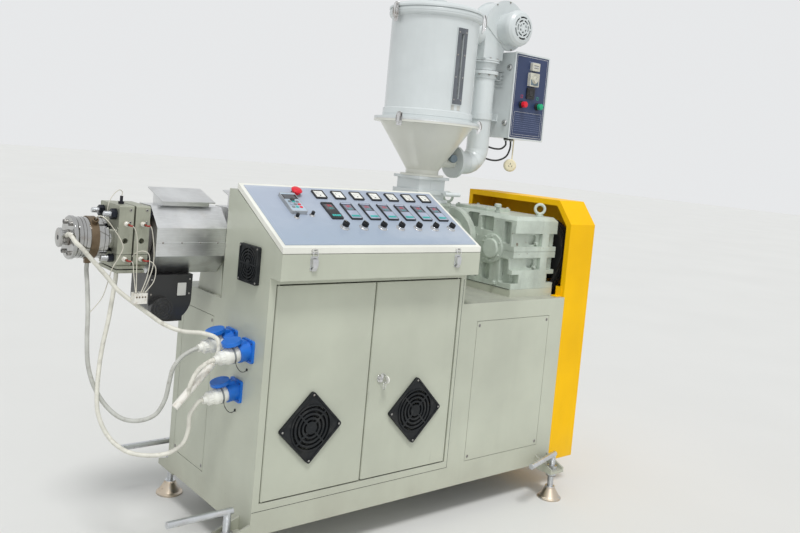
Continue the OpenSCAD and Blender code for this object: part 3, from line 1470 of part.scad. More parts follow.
// counter, timer, switch and two push buttons on the box's face
module dryer_controls() {
    face_y = box_y0 + 2;
    x0 = box_x0 - 3;
    z1 = box_z0 + box_h + 3;
    color(black) {
        for (q = [[0.55, 0.14, 48, 34, 14], [0.53, 0.29, 58, 58, 16], [0.50, 0.45, 50, 50, 8]])
            translate([x0 + q[0] * (box_w + 6), face_y, z1 - q[1] * (box_h + 6)]) rotate([90, 0, 0])
                linear_extrude(q[4]) round_rect(q[2], q[3], 3);
        for (u = [0.28, 0.74]) translate([x0 + u * (box_w + 6), face_y, z1 - 0.59 * (box_h + 6)])
            rotate([90, 0, 0]) rotate_extrude() polygon([
                [0, 0], [15, 0], [15, 5], [12, 7], [12, 16], [13, 17], [13, 26], [10, 29], [0, 29]]);
    }
}

module die_cable() {
    color(white) tube(die_route, cable_r, 8);
}

module plug_cable_a() {
    color(white) tube(route_a, cable_r, 8);
}

module plug_cable_b() {
    color(white) tube(route_b, cable_r, 8);
}

module plug_cable_c() {
    color(white) tube(route_c, cable_r, 8);
}

module dryer_cable_outer() {
    color(black) tube(duct_route, dryer_cable_r, 8);
}

module dryer_cable_inner() {
    color(black) tube(loop_route, dryer_cable_r, 8);
}

// taped pigtail joint of the die cable, and the porcelain terminal block on it
module cable_joints() {
    d = splice_to - splice_from;
    color(white) {
        translate(splice_from) rotate([0, acos(d[2] / norm(d)), atan2(d[1], d[0])]) rotate_extrude() polygon([
            [0, 0], [cable_r + 1, 0], [splice_r, 14], [splice_r, norm(d)], [0, norm(d)]]);
        translate([-322, 273.7, 843]) cube([42, 30, 34]);
    }
}

// round socket hung below the control box on a short lead
module hanging_socket() {
    x = box_x0 + 72;
    y = box_y0 + 34;
    color(white) {
        translate([x, y + 12, box_z0 - 120]) rotate([90, 0, -37]) rotate_extrude() polygon([
            [0, 0], [22, 0], [28, 5], [28, 18], [24, 24], [0, 24]]);
        translate([x, y, box_z0 - 96]) cylinder(r = 3, h = 96 - seat_gap);
    }
}

place() base_frame();
place() base_panels();
place() foot_brackets();
place() levelling_jacks();
place() cabinet_body();
place() mounting_plate();
place() left_door();
place() right_door();
place() left_door_grille();
place() right_door_grille();
place() end_grille();
place() door_lock();
place() console_lid();
place() fascia_panel();
place() panel_instruments();
place() selector_knobs();
place() stop_button();
place() lid_latches();
place() power_sockets();
place() power_plugs();
place() barrel();
place() heat_shields();
place() barrel_supports();
place() cooling_blower();
place() heater_blocks();
place() heater_terminals();
place() die_head();
place() die_band();
place() clamp_bolts();
place() feed_throat();
place() gearbox_housing();
place() gearbox_covers();
place() drive_pulleys();
place() drive_belts();
place() belt_guard();
place() dryer_body();
place() sight_glass();
place() dryer_lid();
place() dryer_cone();
place() dryer_gate();
place() dryer_clamps();
place() dryer_blower();
place() air_duct();
place() control_box();
place() dryer_controls();
place() die_cable();
place() plug_cable_a();
place() plug_cable_b();
place() plug_cable_c();
place() dryer_cable_outer();
place() dryer_cable_inner();
place() cable_joints();
place() hanging_socket();
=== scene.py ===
import logging
import math
from dataclasses import dataclass
from enum import Enum
from typing import Sequence

import bmesh
import bpy
import numpy as np
from mathutils import Matrix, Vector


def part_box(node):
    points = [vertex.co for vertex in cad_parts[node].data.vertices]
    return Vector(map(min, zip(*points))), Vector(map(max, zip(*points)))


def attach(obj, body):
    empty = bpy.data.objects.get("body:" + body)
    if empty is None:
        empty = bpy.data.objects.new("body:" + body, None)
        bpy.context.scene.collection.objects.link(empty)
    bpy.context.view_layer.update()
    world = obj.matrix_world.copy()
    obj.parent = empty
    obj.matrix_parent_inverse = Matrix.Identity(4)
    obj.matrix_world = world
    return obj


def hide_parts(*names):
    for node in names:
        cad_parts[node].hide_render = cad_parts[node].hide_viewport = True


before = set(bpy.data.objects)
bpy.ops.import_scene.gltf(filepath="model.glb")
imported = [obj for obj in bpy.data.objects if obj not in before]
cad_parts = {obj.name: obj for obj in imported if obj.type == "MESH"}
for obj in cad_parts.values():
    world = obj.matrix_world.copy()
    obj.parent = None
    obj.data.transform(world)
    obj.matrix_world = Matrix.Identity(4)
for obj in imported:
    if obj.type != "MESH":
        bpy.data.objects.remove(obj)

Array = np.ndarray
Shell = tuple[Array, list]
Colour = tuple[float, float, float]
Spot = tuple[float, float, float]
Pair = tuple[float, float]
Route = list[list[float]]
LOG = logging.getLogger("extruder")
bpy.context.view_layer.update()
MM = 0.001
BASE_CORNER = np.array(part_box("base_frame")[0])
FINE_OCTAVES = 0.55
BEVEL_SAMPLES = 4
COAT_ROUGHNESS = 0.12
NEARLY_Y = np.array([0.02, 1.0, 0.05])
HOOP_SUNK = 0.8
WASHER_THICK = 1.6


def place(points: Sequence) -> Array:
    """Turns machine millimetres into metres of the part's frame.

    The machine's own zero is the base's front left corner on the floor.

    Args:
        points: one point or an array of points (x, y, z) in millimetres.

    Returns:
        The same points in metres.
    """
    return np.asarray(points, float) * MM + np.array([BASE_CORNER[0], BASE_CORNER[1], 0.0])


class Body(Enum):
    """The bodies a piece can ride on."""

    FRAME = "frame"
    LEFT_DOOR = "left_door"
    RIGHT_DOOR = "right_door"
    LID = "console_lid"


class Stiffness(Enum):
    """How readily a cable bends."""

    LIMP = "limp"
    MEDIUM = "medium"
    STIFF = "stiff"


class Signal:
    """A shader socket whose arithmetic adds Math nodes to its graph."""

    def __init__(self, graph: "Graph", socket: bpy.types.NodeSocket) -> None:
        """Keeps the socket and the graph that its maths goes into."""
        self.graph = graph
        self.socket = socket

    def _math(self, operation: str, *values: "Signal | float") -> "Signal":
        """Adds one Math node over the given values."""
        node = self.graph.node("ShaderNodeMath", {"operation": operation}, dict(enumerate(values)))
        return Signal(self.graph, node.outputs[0])

    def __add__(self, other: "Signal | float") -> "Signal":
        """Sum."""
        return self._math("ADD", self, other)

    def __radd__(self, other: float) -> "Signal":
        """Sum, number first."""
        return self._math("ADD", other, self)

    def __sub__(self, other: "Signal | float") -> "Signal":
        """Difference."""
        return self._math("SUBTRACT", self, other)

    def __rsub__(self, other: float) -> "Signal":
        """Difference, number first."""
        return self._math("SUBTRACT", other, self)

    def __mul__(self, other: "Signal | float") -> "Signal":
        """Product."""
        return self._math("MULTIPLY", self, other)

    def step(self, low: float, high: float) -> "Signal":
        """A smooth step from 0 at low to 1 at high.

        Args:
            low: the value where the step starts.
            high: the value where it ends; below low, the step falls instead.

        Returns:
            The step, from 0 to 1.
        """
        if low > high:
            return 1.0 - self.step(high, low)
        node = self.graph.node("ShaderNodeMapRange", {"interpolation_type": "SMOOTHSTEP"},
                               {"Value": self, "From Min": low, "From Max": high})
        return Signal(self.graph, node.outputs[0])


class Graph:
    """The node tree of one material."""

    def __init__(self, name: str) -> None:
        """Makes an empty material with an output node.

        Args:
            name: the material's name.
        """
        self.material = bpy.data.materials.new(name)
        self.material.use_nodes = True
        self.tree = self.material.node_tree
        self.tree.nodes.clear()
        self.output = self.tree.nodes.new("ShaderNodeOutputMaterial")

    def node(self, kind: str, settings: dict | None = None,
             values: dict | None = None) -> bpy.types.Node:
        """Adds any node.

        Args:
            kind: the node's type.
            settings: properties, set before the sockets are filled.
            values: socket name or index to a number, colour or Signal.

        Returns:
            The new node.
        """
        made = self.tree.nodes.new(kind)
        for key, value in (settings or {}).items():
            setattr(made, key, value)
        for key, value in (values or {}).items():
            if isinstance(value, Signal):
                self.tree.links.new(value.socket, made.inputs[key])
            else:
                made.inputs[key].default_value = value
        return made

    def spot(self, stretch: Sequence[float] = (1, 1, 1), turn: Sequence[float] = (0, 0, 0)) -> Signal:
        """Object coordinates, stretched and turned by a Mapping node.

        Args:
            stretch: factor on each axis.
            turn: rotation in radians.

        Returns:
            The coordinates.
        """
        source = Signal(self, self.node("ShaderNodeTexCoord").outputs["Object"])
        values = {"Vector": source, "Scale": tuple(stretch), "Rotation": tuple(turn)}
        return Signal(self, self.node("ShaderNodeMapping", None, values).outputs[0])

    def height(self) -> Signal:
        """Height above the floor in metres."""
        source = Signal(self, self.node("ShaderNodeTexCoord").outputs["Object"])
        return Signal(self, self.node("ShaderNodeSeparateXYZ", None, {0: source}).outputs["Z"])

    def upward(self) -> Signal:
        """1 where the surface looks up, 0 where it is upright."""
        source = Signal(self, self.node("ShaderNodeNewGeometry").outputs["Normal"])
        height = self.node("ShaderNodeSeparateXYZ", None, {0: source}).outputs["Z"]
        return Signal(self, height).step(0.55, 0.9)

    def noise(self, scale: float, detail: float = 3, stretch: Sequence[float] = (1, 1, 1),
              turn: Sequence[float] = (0, 0, 0)) -> Signal:
        """Cloudy noise from 0 to 1.

        Args:
            scale: clouds in a metre.
            detail: octaves.
            stretch: factor on each axis; small values draw the clouds out.
            turn: rotation of the coordinates in radians.

        Returns:
            The noise.
        """
        values = {"Vector": self.spot(stretch, turn), "Scale": scale, "Detail": detail,
                  "Roughness": FINE_OCTAVES}
        return Signal(self, self.node("ShaderNodeTexNoise", None, values).outputs[0])

    def cells(self, scale: float) -> Signal:
        """Distance to the nearest of scattered points."""
        made = self.node("ShaderNodeTexVoronoi", None, {"Vector": self.spot(), "Scale": scale})
        return Signal(self, made.outputs["Distance"])

    def edges(self, radius: float) -> Signal:
        """A mask of the outer and inner edges, 1 at an edge.

        The mask is 1 minus the dot product of the true normal and the normal rounded over the radius.

        Args:
            radius: reach of an edge in metres.

        Returns:
            The mask.
        """
        true = Signal(self, self.node("ShaderNodeNewGeometry").outputs["Normal"])
        dot = self.node("ShaderNodeVectorMath", {"operation": "DOT_PRODUCT"},
                        {0: self.rounded(radius), 1: true})
        return (1.0 - Signal(self, dot.outputs["Value"])).step(0.01, 0.22)

    def rounded(self, radius: float) -> Signal:
        """The normal, rounded over the edges by a radius in metres."""
        made = self.node("ShaderNodeBevel", {"samples": BEVEL_SAMPLES}, {"Radius": radius})
        return Signal(self, made.outputs[0])

    def mix(self, first: "Signal | Sequence[float]", second: "Signal | Sequence[float]",
            share: "Signal | float") -> Signal:
        """Mixes two colours.

        Args:
            first: the colour at share 0.
            second: the colour at share 1.
            share: how much of the second.

        Returns:
            The mixed colour.
        """
        made = self.node("ShaderNodeMix", {"data_type": "RGBA", "clamp_factor": True},
                         {0: share, 6: tone(first), 7: tone(second)})
        return Signal(self, made.outputs[2])

    def normal(self, height: Signal, depth: float, radius: float = 0.0) -> Signal:
        """The shading normal: edges rounded over a radius, with a bump on top.

        Args:
            height: the bump's height.
            depth: what a height of 1 stands for, in metres.
            radius: radius of the rounded edges in metres, or 0.

        Returns:
            The normal.
        """
        values = {"Height": height, "Distance": depth, "Strength": 1.0}
        if radius > 0:
            values["Normal"] = self.rounded(radius)
        return Signal(self, self.node("ShaderNodeBump", None, values).outputs[0])

    def finish(self, colour: "Signal | Sequence[float]", rough: "Signal | float",
               metal: "Signal | float" = 0.0, normal: "Signal | None" = None, coat: float = 0.0,
               **constants: float) -> bpy.types.Material:
        """Closes the graph with a Principled shader.

        Args:
            colour: base colour.
            rough: roughness.
            metal: metallic share.
            normal: shading normal.
            coat: coat weight.
            **constants: other sockets by name, with underscores for spaces, numbers only.

        Returns:
            The material.
        """
        values = {"Base Color": tone(colour), "Roughness": rough, "Metallic": metal,
                  "Coat Weight": coat, "Coat Roughness": COAT_ROUGHNESS}
        values.update({key.replace("_", " "): value for key, value in constants.items()})
        if normal is not None:
            values["Normal"] = normal
        shader = self.node("ShaderNodeBsdfPrincipled", None, values)
        self.tree.links.new(shader.outputs[0], self.output.inputs[0])
        return self.material


def tone(value: "Signal | Sequence[float]") -> "Signal | tuple":
    """A colour with its alpha added; a Signal passes through."""
    return value if isinstance(value, Signal) else (*tuple(value)[:3], 1.0)


def srgb(red: int, green: int, blue: int) -> Colour:
    """Linear colour of an 8-bit screen colour, by the plain 2.2 power law."""
    return tuple(round((v / 255) ** 2.2, 4) for v in (red, green, blue))


def ring_angles(count: int) -> Array:
    """Angles of a ring of points, evenly spread, in radians."""
    return np.linspace(0.0, 2 * math.pi, count, endpoint=False)


def grid_shell(points: Array, capped: bool = True) -> Shell:
    """Joins a grid of points into quads, its last column meeting the first.

    Face (i, j) takes the corners (i, j), (i, j+1), (i+1, j+1), (i+1, j).

    Args:
        points: grid of shape (rows, columns, 3).
        capped: whether one face closes the first row, and one the last.

    Returns:
        Vertices and faces.
    """
    rows, columns = points.shape[:2]
    i, j = np.meshgrid(np.arange(rows - 1), np.arange(columns), indexing="ij")
    k = (j + 1) % columns
    low, high = i * columns, (i + 1) * columns
    faces = np.stack([low + j, low + k, high + k, high + j], -1).reshape(-1, 4).tolist()
    if capped:
        faces.append(list(range(columns - 1, -1, -1)))
        faces.append(list(range((rows - 1) * columns, rows * columns)))
    return points.reshape(-1, 3), faces


def lathe(profile: Sequence, origin: Sequence = (0, 0, 0), axis: Sequence = (0, 0, 1), sides: int = 48,
          loop: bool = False) -> Shell:
    """Turns a profile round an axis.

    Point (i, j) is origin + height_i * axis + radius_i * (cos a_j * u + sin a_j * v).

    Args:
        profile: (radius, height) pairs in millimetres.
        origin: the axis's foot in millimetres.
        axis: its direction.
        sides: points round it.
        loop: whether the profile is closed, which leaves a ring without end faces.

    Returns:
        A closed shell in millimetres.
    """
    profile = np.asarray(profile, float)
    radius, height = (np.vstack([profile, profile[:1]]) if loop else profile).T
    along, u, v = frame_of(axis)
    turn = ring_angles(sides)
    round_it = np.cos(turn)[:, None] * u + np.sin(turn)[:, None] * v
    points = np.asarray(origin, float) + height[:, None, None] * along + radius[:, None, None] * round_it
    return grid_shell(points, capped=not loop)


def hoop(radius: float, width: float, proud: float, origin: Sequence, axis: Sequence = (0, 0, 1),
         sides: int = 72) -> Shell:
    """A low band round a cylinder, its foot sunk in it and its outer corners broken.

    Args:
        radius: the cylinder's radius.
        width: the band's size along the axis.
        proud: how far it stands out.
        origin: its middle on the axis.
        axis: the axis's direction.
        sides: points round it.

    Returns:
        A closed ring.
    """
    half, edge = width / 2, min(proud, width / 2) * 0.4
    foot, crown = radius - HOOP_SUNK, radius + proud
    profile = [(foot, -half), (crown - edge, -half), (crown, edge - half),
               (crown, half - edge), (crown - edge, half), (foot, half)]
    return lathe(profile, origin, axis, sides, loop=True)


def frame_of(axis: Sequence) -> tuple[Array, Array, Array]:
    """A unit axis and two unit vectors across it.

    Args:
        axis: the axis's direction.

    Returns:
        The unit axis, u and v, as a right-handed set.
    """
    along = np.asarray(axis, float)
    along = along / np.linalg.norm(along)
    helper = np.array([0.0, 0.0, 1.0]) if abs(along[2]) < 0.9 else np.array([1.0, 0.0, 0.0])
    u = np.cross(helper, along)
    u = u / np.linalg.norm(u)
    return along, u, np.cross(along, u)


def smooth_path(points: Sequence, per_span: int = 8) -> Array:
    """A Catmull-Rom curve through the points, end points repeated.

    Args:
        points: (count, 3) array.
        per_span: points made in each span.

    Returns:
        The finer path.
    """
    p = np.asarray(points, float)
    p = np.vstack([2 * p[0] - p[1], p, 2 * p[-1] - p[-2]])
    t = np.linspace(0, 1, per_span, endpoint=False)[:, None]
    a, b, c, d = (p[i:len(p) - 3 + i, None, :] for i in range(4))
    spans = 0.5 * (2 * b + (c - a) * t + (2 * a - 5 * b + 4 * c - d) * t ** 2
                   + (3 * b - a - 3 * c + d) * t ** 3)
    return np.vstack([spans.reshape(-1, 3), p[-2]])


def tube(path: Array, radius: float, sides: int = 12) -> Shell:
    """Sweeps a circle along a path.

    Point (i, j) is p_i + r * (cos a_j * u_i + sin a_j * v_i), with u_i across the tangent and nearly Y.

    Args:
        path: (count, 3) points.
        radius: the circle's radius.
        sides: points round it.

    Returns:
        A closed shell.
    """
    path = np.asarray(path, float)
    tangent = np.gradient(path, axis=0)
    tangent[0], tangent[-1] = path[1] - path[0], path[-1] - path[-2]
    tangent /= np.linalg.norm(tangent, axis=1, keepdims=True)
    u = np.cross(tangent, NEARLY_Y)
    u /= np.linalg.norm(u, axis=1, keepdims=True)
    v = np.cross(tangent, u)
    turn = ring_angles(sides)
    ring = (np.cos(turn)[None, :, None] * u[:, None, :]
            + np.sin(turn)[None, :, None] * v[:, None, :])
    return grid_shell(path[:, None, :] + radius * ring)


def rounded_outline(width: float, height: float, radius: float, steps: int = 5) -> Array:
    """Outline of a centred rectangle with round corners, counter-clockwise.

    Args:
        width: size along X.
        height: size along Y.
        radius: corner radius, kept above 0 and below half of either size.
        steps: points round a corner.

    Returns:
        (count, 2) points.
    """
    radius = max(min(radius, width / 2 - 1e-3, height / 2 - 1e-3), 1e-3)
    corner = np.array([[1, 1], [-1, 1], [-1, -1], [1, -1]]) * [width / 2 - radius, height / 2 - radius]
    turn = np.linspace(0, math.pi / 2, steps)[None, :] + np.arange(4)[:, None] * math.pi / 2
    arc = np.stack([np.cos(turn), np.sin(turn)], -1) * radius
    return (corner[:, None, :] + arc).reshape(-1, 2)


def plate(outline: Array, thick: float, bevel: float = 0.4) -> Shell:
    """A flat plate with a bevelled upper edge, standing on z = 0.

    Rings of the outline, drawn in by the bevel at the top, are stacked and closed at both ends.

    Args:
        outline: (count, 2) points round the plate.
        thick: its thickness.
        bevel: how far the top edge is drawn in.

    Returns:
        A closed shell, flat in X and Y.
    """
    size = np.ptp(outline, axis=0) / 2
    middle = outline.min(axis=0) + size
    shrink = (size - min(bevel, size.min() * 0.6)) / size
    top = (outline - middle) * shrink + middle
    rings = [np.column_stack([o, np.full(len(o), z)]) for o, z in
             ((outline, 0.0), (outline, thick - bevel), (top, thick))]
    return grid_shell(np.array(rings))


def moved(shell: Shell, rotation: Array, offset: Sequence) -> Shell:
    """A shell turned by a 3 by 3 matrix and then shifted."""
    return shell[0] @ np.asarray(rotation, float).T + np.asarray(offset, float), shell[1]


def fitted(parts: Sequence[Shell], rotation: Array, spots: Sequence) -> list[Shell]:
    """The same parts at every spot, turned by a 3 by 3 matrix."""
    return [moved(part, rotation, spot) for spot in spots for part in parts]


def facing(normal: Sequence, up: Sequence = (0, 0, 1)) -> Array:
    """Matrix that lays local X across, local Y up the slope and local Z along a normal.

    Args:
        normal: the direction that local Z takes.
        up: the direction that local Y leans to.

    Returns:
        A 3 by 3 rotation.
    """
    z = np.asarray(normal, float) / np.linalg.norm(normal)
    y = np.asarray(up, float) - np.dot(up, z) * z
    y /= np.linalg.norm(y)
    return np.column_stack([np.cross(y, z), y, z])


# Turns that bring a shell's own Z to the machine's front, to its left end and straight up
FRONT, LEFT, UPWARD = facing((0, -1, 0)), facing((-1, 0, 0)), np.eye(3)


def hex_head(across: float, high: float, washer: float = 0.0) -> list[Shell]:
    """A hexagon head with a chamfered crown, on a washer where one is given.

    Args:
        across: the hexagon's size, as sqrt(3) times its corner radius.
        high: the head's height.
        washer: the washer's radius, or 0.

    Returns:
        The head, and the washer after it.
    """
    radius = across / math.sqrt(3)
    base = WASHER_THICK if washer else 0.0
    parts = [lathe([(radius, base), (radius, base + high * 0.85), (radius * 0.86, base + high)], sides=6)]
    if washer:
        parts.append(lathe([(washer, 0), (washer, 1.2), (washer - 0.5, WASHER_THICK)], sides=24))
    return parts


def socket_head(radius: float, high: float) -> list[Shell]:
    """A cap screw's head with a recess half its radius wide and half its height deep."""
    well, edge = radius * 0.5, 0.8
    profile = [(radius, 0), (radius, high - edge), (radius - edge, high), (well, high), (well, high * 0.5)]
    return [lathe(profile, sides=18)]


def pan_head(radius: float, high: float) -> list[Shell]:
    """A low domed screw head."""
    profile = ((1, 0), (0.96, 0.5), (0.7, 0.88), (0.25, 1))
    return [lathe([(radius * across, high * up) for across, up in profile], sides=16)]


class Workshop:
    """Turns shells into finished pieces that ride on their bodies."""

    def __init__(self) -> None:
        """Starts with no pieces."""
        self.count = 0

    def piece(self, name: str, shells: Sequence[Shell], finish: bpy.types.Material, slot: str,
              body: Body = Body.FRAME, crease: float = 35.0, fix_normals: bool = False) -> bpy.types.Object:
        """Makes one object from shells given in machine millimetres.

        Args:
            name: the piece's name.
            shells: the closed shells in it.
            finish: its material.
            slot: not used.
            body: the body it rides on.
            crease: edges sharper than this angle stay hard.
            fix_normals: whether normals are worked out again.

        Returns:
            The object.
        """
        starts = np.cumsum([0] + [len(s[0]) for s in shells[:-1]])
        points = place(np.vstack([s[0] for s in shells]))
        faces = [[v + int(start) for v in face] for start, (_, part) in zip(starts, shells) for face in part]
        mesh = bpy.data.meshes.new(name)
        mesh.from_pydata(points.tolist(), [], faces)
        mesh.validate()
        if fix_normals:
            work = bmesh.new()
            work.from_mesh(mesh)
            bmesh.ops.recalc_face_normals(work, faces=work.faces)
            work.to_mesh(mesh)
            work.free()
        mesh.shade_smooth()
        mesh.set_sharp_from_angle(angle=math.radians(crease))
        mesh.materials.append(finish)
        made = bpy.data.objects.new(name, mesh)
        bpy.context.scene.collection.objects.link(made)
        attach(made, body.value)
        self.count += 1
        LOG.info("%s rides on %s, %d faces", name, body.value, len(faces))
        return made

    def cord(self, name: str, route: Sequence, diameter: float, finish: bpy.types.Material, slot: str,
             node: str | None = None, stiffness: Stiffness = Stiffness.MEDIUM,
             with_pieces: Sequence[str] = (), sides: int = 14) -> bpy.types.Object:
        """Makes a cable along a route.

        Args:
            name: the piece's name.
            route: points in machine millimetres, from where it leaves the object.
            diameter: its diameter in millimetres.
            finish: its material.
            slot: the record's slot.
            node: the CAD node that it stands for.
            stiffness: not used.
            with_pieces: not used.
            sides: points round it.

        Returns:
            The object.
        """
        path = smooth_path(route, 6)
        made = self.piece(name, [tube(path, diameter / 2, sides)], finish, slot, crease=80)
        if node:
            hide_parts(node)
        diameter * MM
        return made


def dress(nodes: Sequence[str], finish: bpy.types.Material) -> None:
    """Gives CAD nodes their finish.

    Args:
        nodes: node names.
        finish: the material that fills their slots.
    """
    for name in nodes:
        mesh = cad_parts[name].data
        if not mesh.materials:
            mesh.materials.append(finish)
        for index in range(len(mesh.materials)):
            mesh.materials[index] = finish


def scaled(colour: Colour, factor: float, lift: float = 0.0) -> Colour:
    """A colour times a factor, lifted by a little, and never above 1."""
    return tuple(min(1.0, part * factor + lift) for part in colour)


@dataclass(frozen=True)
class Enamel:
    """Sprayed enamel: orange peel, cloudy tone, scratches, chipped edges, dust near the floor and painted
    shade on up-facing faces.
    """

    name: str
    colour: Colour
    rough: float = 0.38
    peel: float = 0.00035
    wear: float = 0.35
    bare: Colour = (0.20, 0.19, 0.17)
    dust: Colour = (0.30, 0.27, 0.21)
    # film: colour of the painted shade on up-facing faces.
    film: Colour = (0.30, 0.30, 0.27)
    dust_foot: float = 0.06
    dust_top: float = 0.34
    dust_share: float = 0.45
    # Share of the painted shade on up-facing faces.
    painted_top_shade: float = 0.0
    edge: float = 0.0016
    coat: float = 0.25
    gloss: float = 0.5

    def build(self) -> bpy.types.Material:
        """Makes the material."""
        g = Graph(self.name)
        cloud = g.noise(2.2, 4)
        fine = g.noise(38, 4)
        colour = g.mix(scaled(self.colour, 0.86), scaled(self.colour, 1.05), cloud.step(0.25, 0.75))
        scratch = g.noise(46, 2, (1, 1, 0.05), (0.4, 0.9, 0.2)).step(0.735, 0.76)
        scratch = scratch * g.noise(7, 2).step(0.52, 0.62)
        smear = g.noise(9, 5, (1, 1, 0.16)).step(0.50, 0.80)
        colour = g.mix(colour, scaled(self.colour, 0.72), smear * 0.22)
        colour = g.mix(colour, scaled(self.colour, 0.55, 0.05), scratch * 0.55)
        top = max(self.dust_top, self.dust_foot + 0.01)
        low = g.height().step(top, self.dust_foot) * (g.noise(6, 5).step(0.25, 0.75) * 0.6 + 0.4)
        colour = g.mix(colour, self.dust, low * self.dust_share)
        # Painted shade: up-facing faces are darkened towards the film colour.
        film = g.upward() * (g.noise(7, 5).step(0.25, 0.7) * 0.6 + 0.4) * self.painted_top_shade
        colour = g.mix(colour, self.film, film)
        chip = g.edges(self.edge * 1.6) * g.noise(55, 3).step(0.56, 0.64) * g.noise(5, 2).step(0.42, 0.6)
        colour = g.mix(colour, self.bare, chip * self.wear)
        rough = self.rough + fine * 0.10 + low * 0.25 + scratch * 0.15
        height = g.noise(900, 2) * 0.5 + fine * 0.9 - chip * 0.8 - scratch * 0.3
        return g.finish(colour, rough + film * 0.3, chip * 0.3,
                        g.normal(height, self.peel, self.edge), self.coat, Specular_IOR_Level=self.gloss)


@dataclass(frozen=True)
class Casting:
    """Painted sand casting: grainy skin, filler waves, chips down to iron and streaks of grime."""

    name: str
    colour: Colour
    iron: Colour = (0.16, 0.10, 0.06)
    grime: Colour = (0.20, 0.20, 0.16)
    rough: float = 0.42
    grain: float = 0.0011
    edge: float = 0.004
    coat: float = 0.3

    def build(self) -> bpy.types.Material:
        """Makes the material."""
        g = Graph(self.name)
        wave = g.noise(9, 4)
        grit = g.noise(240, 4)
        pit = g.cells(170)
        colour = g.mix(scaled(self.colour, 0.80), scaled(self.colour, 1.07), wave.step(0.3, 0.7))
        chip = g.noise(34, 4).step(0.685, 0.70) * g.noise(5, 2).step(0.5, 0.6)
        worn = g.edges(self.edge) * g.noise(60, 3).step(0.55, 0.62)
        colour = g.mix(colour, self.iron, chip * 0.75 + worn * 0.3)
        grime = g.noise(16, 5, (1, 1, 0.3)).step(0.52, 0.78)
        colour = g.mix(colour, self.grime, grime * 0.26)
        height = wave * 3.0 + grit * 0.55 + pit * 0.5 - chip * 0.7
        return g.finish(colour, self.rough + grit * 0.16 + grime * 0.12, chip * 0.2,
                        g.normal(height, self.grain, self.edge), self.coat)


@dataclass(frozen=True)
class Metal:
    """Bare or plated metal: brushed lines, smudges, stains and rust specks."""

    name: str
    colour: Colour
    rough: float = 0.28
    brush: tuple[float, float, float] = (1.0, 1.0, 1.0)
    brush_depth: float = 0.00004
    stain: Colour = (0.30, 0.20, 0.12)
    stain_share: float = 0.2
    rust: float = 0.0
    rust_colour: Colour = (0.22, 0.085, 0.03)
    edge: float = 0.0012
    metal: float = 1.0
    foot: Colour | None = None
    foot_top: float = 0.052
    haze: float = 1.0

    def build(self) -> bpy.types.Material:
        """Makes the material."""
        g = Graph(self.name)
        lines = g.noise(420, 3, self.brush)
        smudge = g.noise(11, 5)
        colour = g.mix(scaled(self.colour, 0.82), self.colour, smudge.step(0.3, 0.7))
        colour = g.mix(colour, scaled(self.colour, 1.12), lines.step(0.45, 0.75) * 0.5)
        if self.foot:
            sheen = g.noise(24, 3).step(0.45, 0.7) * 0.5
            passivated = g.mix(self.foot, scaled(self.foot[::-1], 0.8), sheen)
            colour = g.mix(passivated, colour, g.height().step(self.foot_top - 0.004, self.foot_top))
        mark = g.noise(18, 5).step(0.50, 0.74)
        colour = g.mix(colour, self.stain, mark * self.stain_share)
        specks = g.noise(70, 4).step(0.60, 0.70) * g.noise(8, 3).step(0.40, 0.62) * self.rust
        colour = g.mix(colour, self.rust_colour, specks)
        rough = self.rough + (lines * 0.10 + smudge * 0.08 + mark * 0.10) * self.haze + specks * 0.5
        height = lines + specks * 3.0
        return g.finish(colour, rough, self.metal - specks * 0.9,
                        g.normal(height, self.brush_depth, self.edge))


@dataclass(frozen=True)
class Plastic:
    """Moulded plastic or rubber: fine skin, a cloud of dust and rubbed edges."""

    name: str
    colour: Colour
    rough: float = 0.45
    skin: float = 0.00012
    dust: Colour = (0.45, 0.43, 0.38)
    dust_share: float = 0.16
    edge: float = 0.0008
    rubbed: float = 0.0015
    soft: float = 0.0
    gloss: float = 0.5

    def build(self) -> bpy.types.Material:
        """Makes the material."""
        g = Graph(self.name)
        cloud = g.noise(14, 5)
        fine = g.noise(620, 2)
        colour = g.mix(scaled(self.colour, 0.84), scaled(self.colour, 1.1, 0.004), cloud.step(0.3, 0.7))
        film = g.noise(26, 5).step(0.45, 0.85)
        colour = g.mix(colour, self.dust, film * self.dust_share)
        rubbed = g.edges(self.rubbed) * g.noise(90, 2).step(0.45, 0.65)
        colour = g.mix(colour, scaled(self.colour, 1.4, 0.03), rubbed * 0.35)
        return g.finish(colour, self.rough + fine * 0.08 + film * 0.18, 0.0,
                        g.normal(fine + cloud * 2.0, self.skin, self.edge), Sheen_Weight=self.soft,
                        Specular_IOR_Level=self.gloss)


@dataclass(frozen=True)
class Sheath:
    """Cable sheath or hose: cloudy skin with patches of hand grime."""

    name: str
    colour: Colour
    grime: Colour = (0.20, 0.17, 0.13)
    grime_share: float = 0.45
    rough: float = 0.48
    skin: float = 0.0002

    def build(self) -> bpy.types.Material:
        """Makes the material."""
        g = Graph(self.name)
        cloud = g.noise(24, 5)
        dirt = g.noise(58, 5).step(0.48, 0.72) * g.noise(9, 3).step(0.35, 0.65)
        colour = g.mix(scaled(self.colour, 0.84), self.colour, cloud.step(0.3, 0.7))
        colour = g.mix(colour, self.grime, dirt * self.grime_share)
        height = g.noise(300, 3) + cloud * 1.5
        rough = self.rough + dirt * 0.25 + cloud * 0.08
        return g.finish(colour, rough, normal=g.normal(height, self.skin))


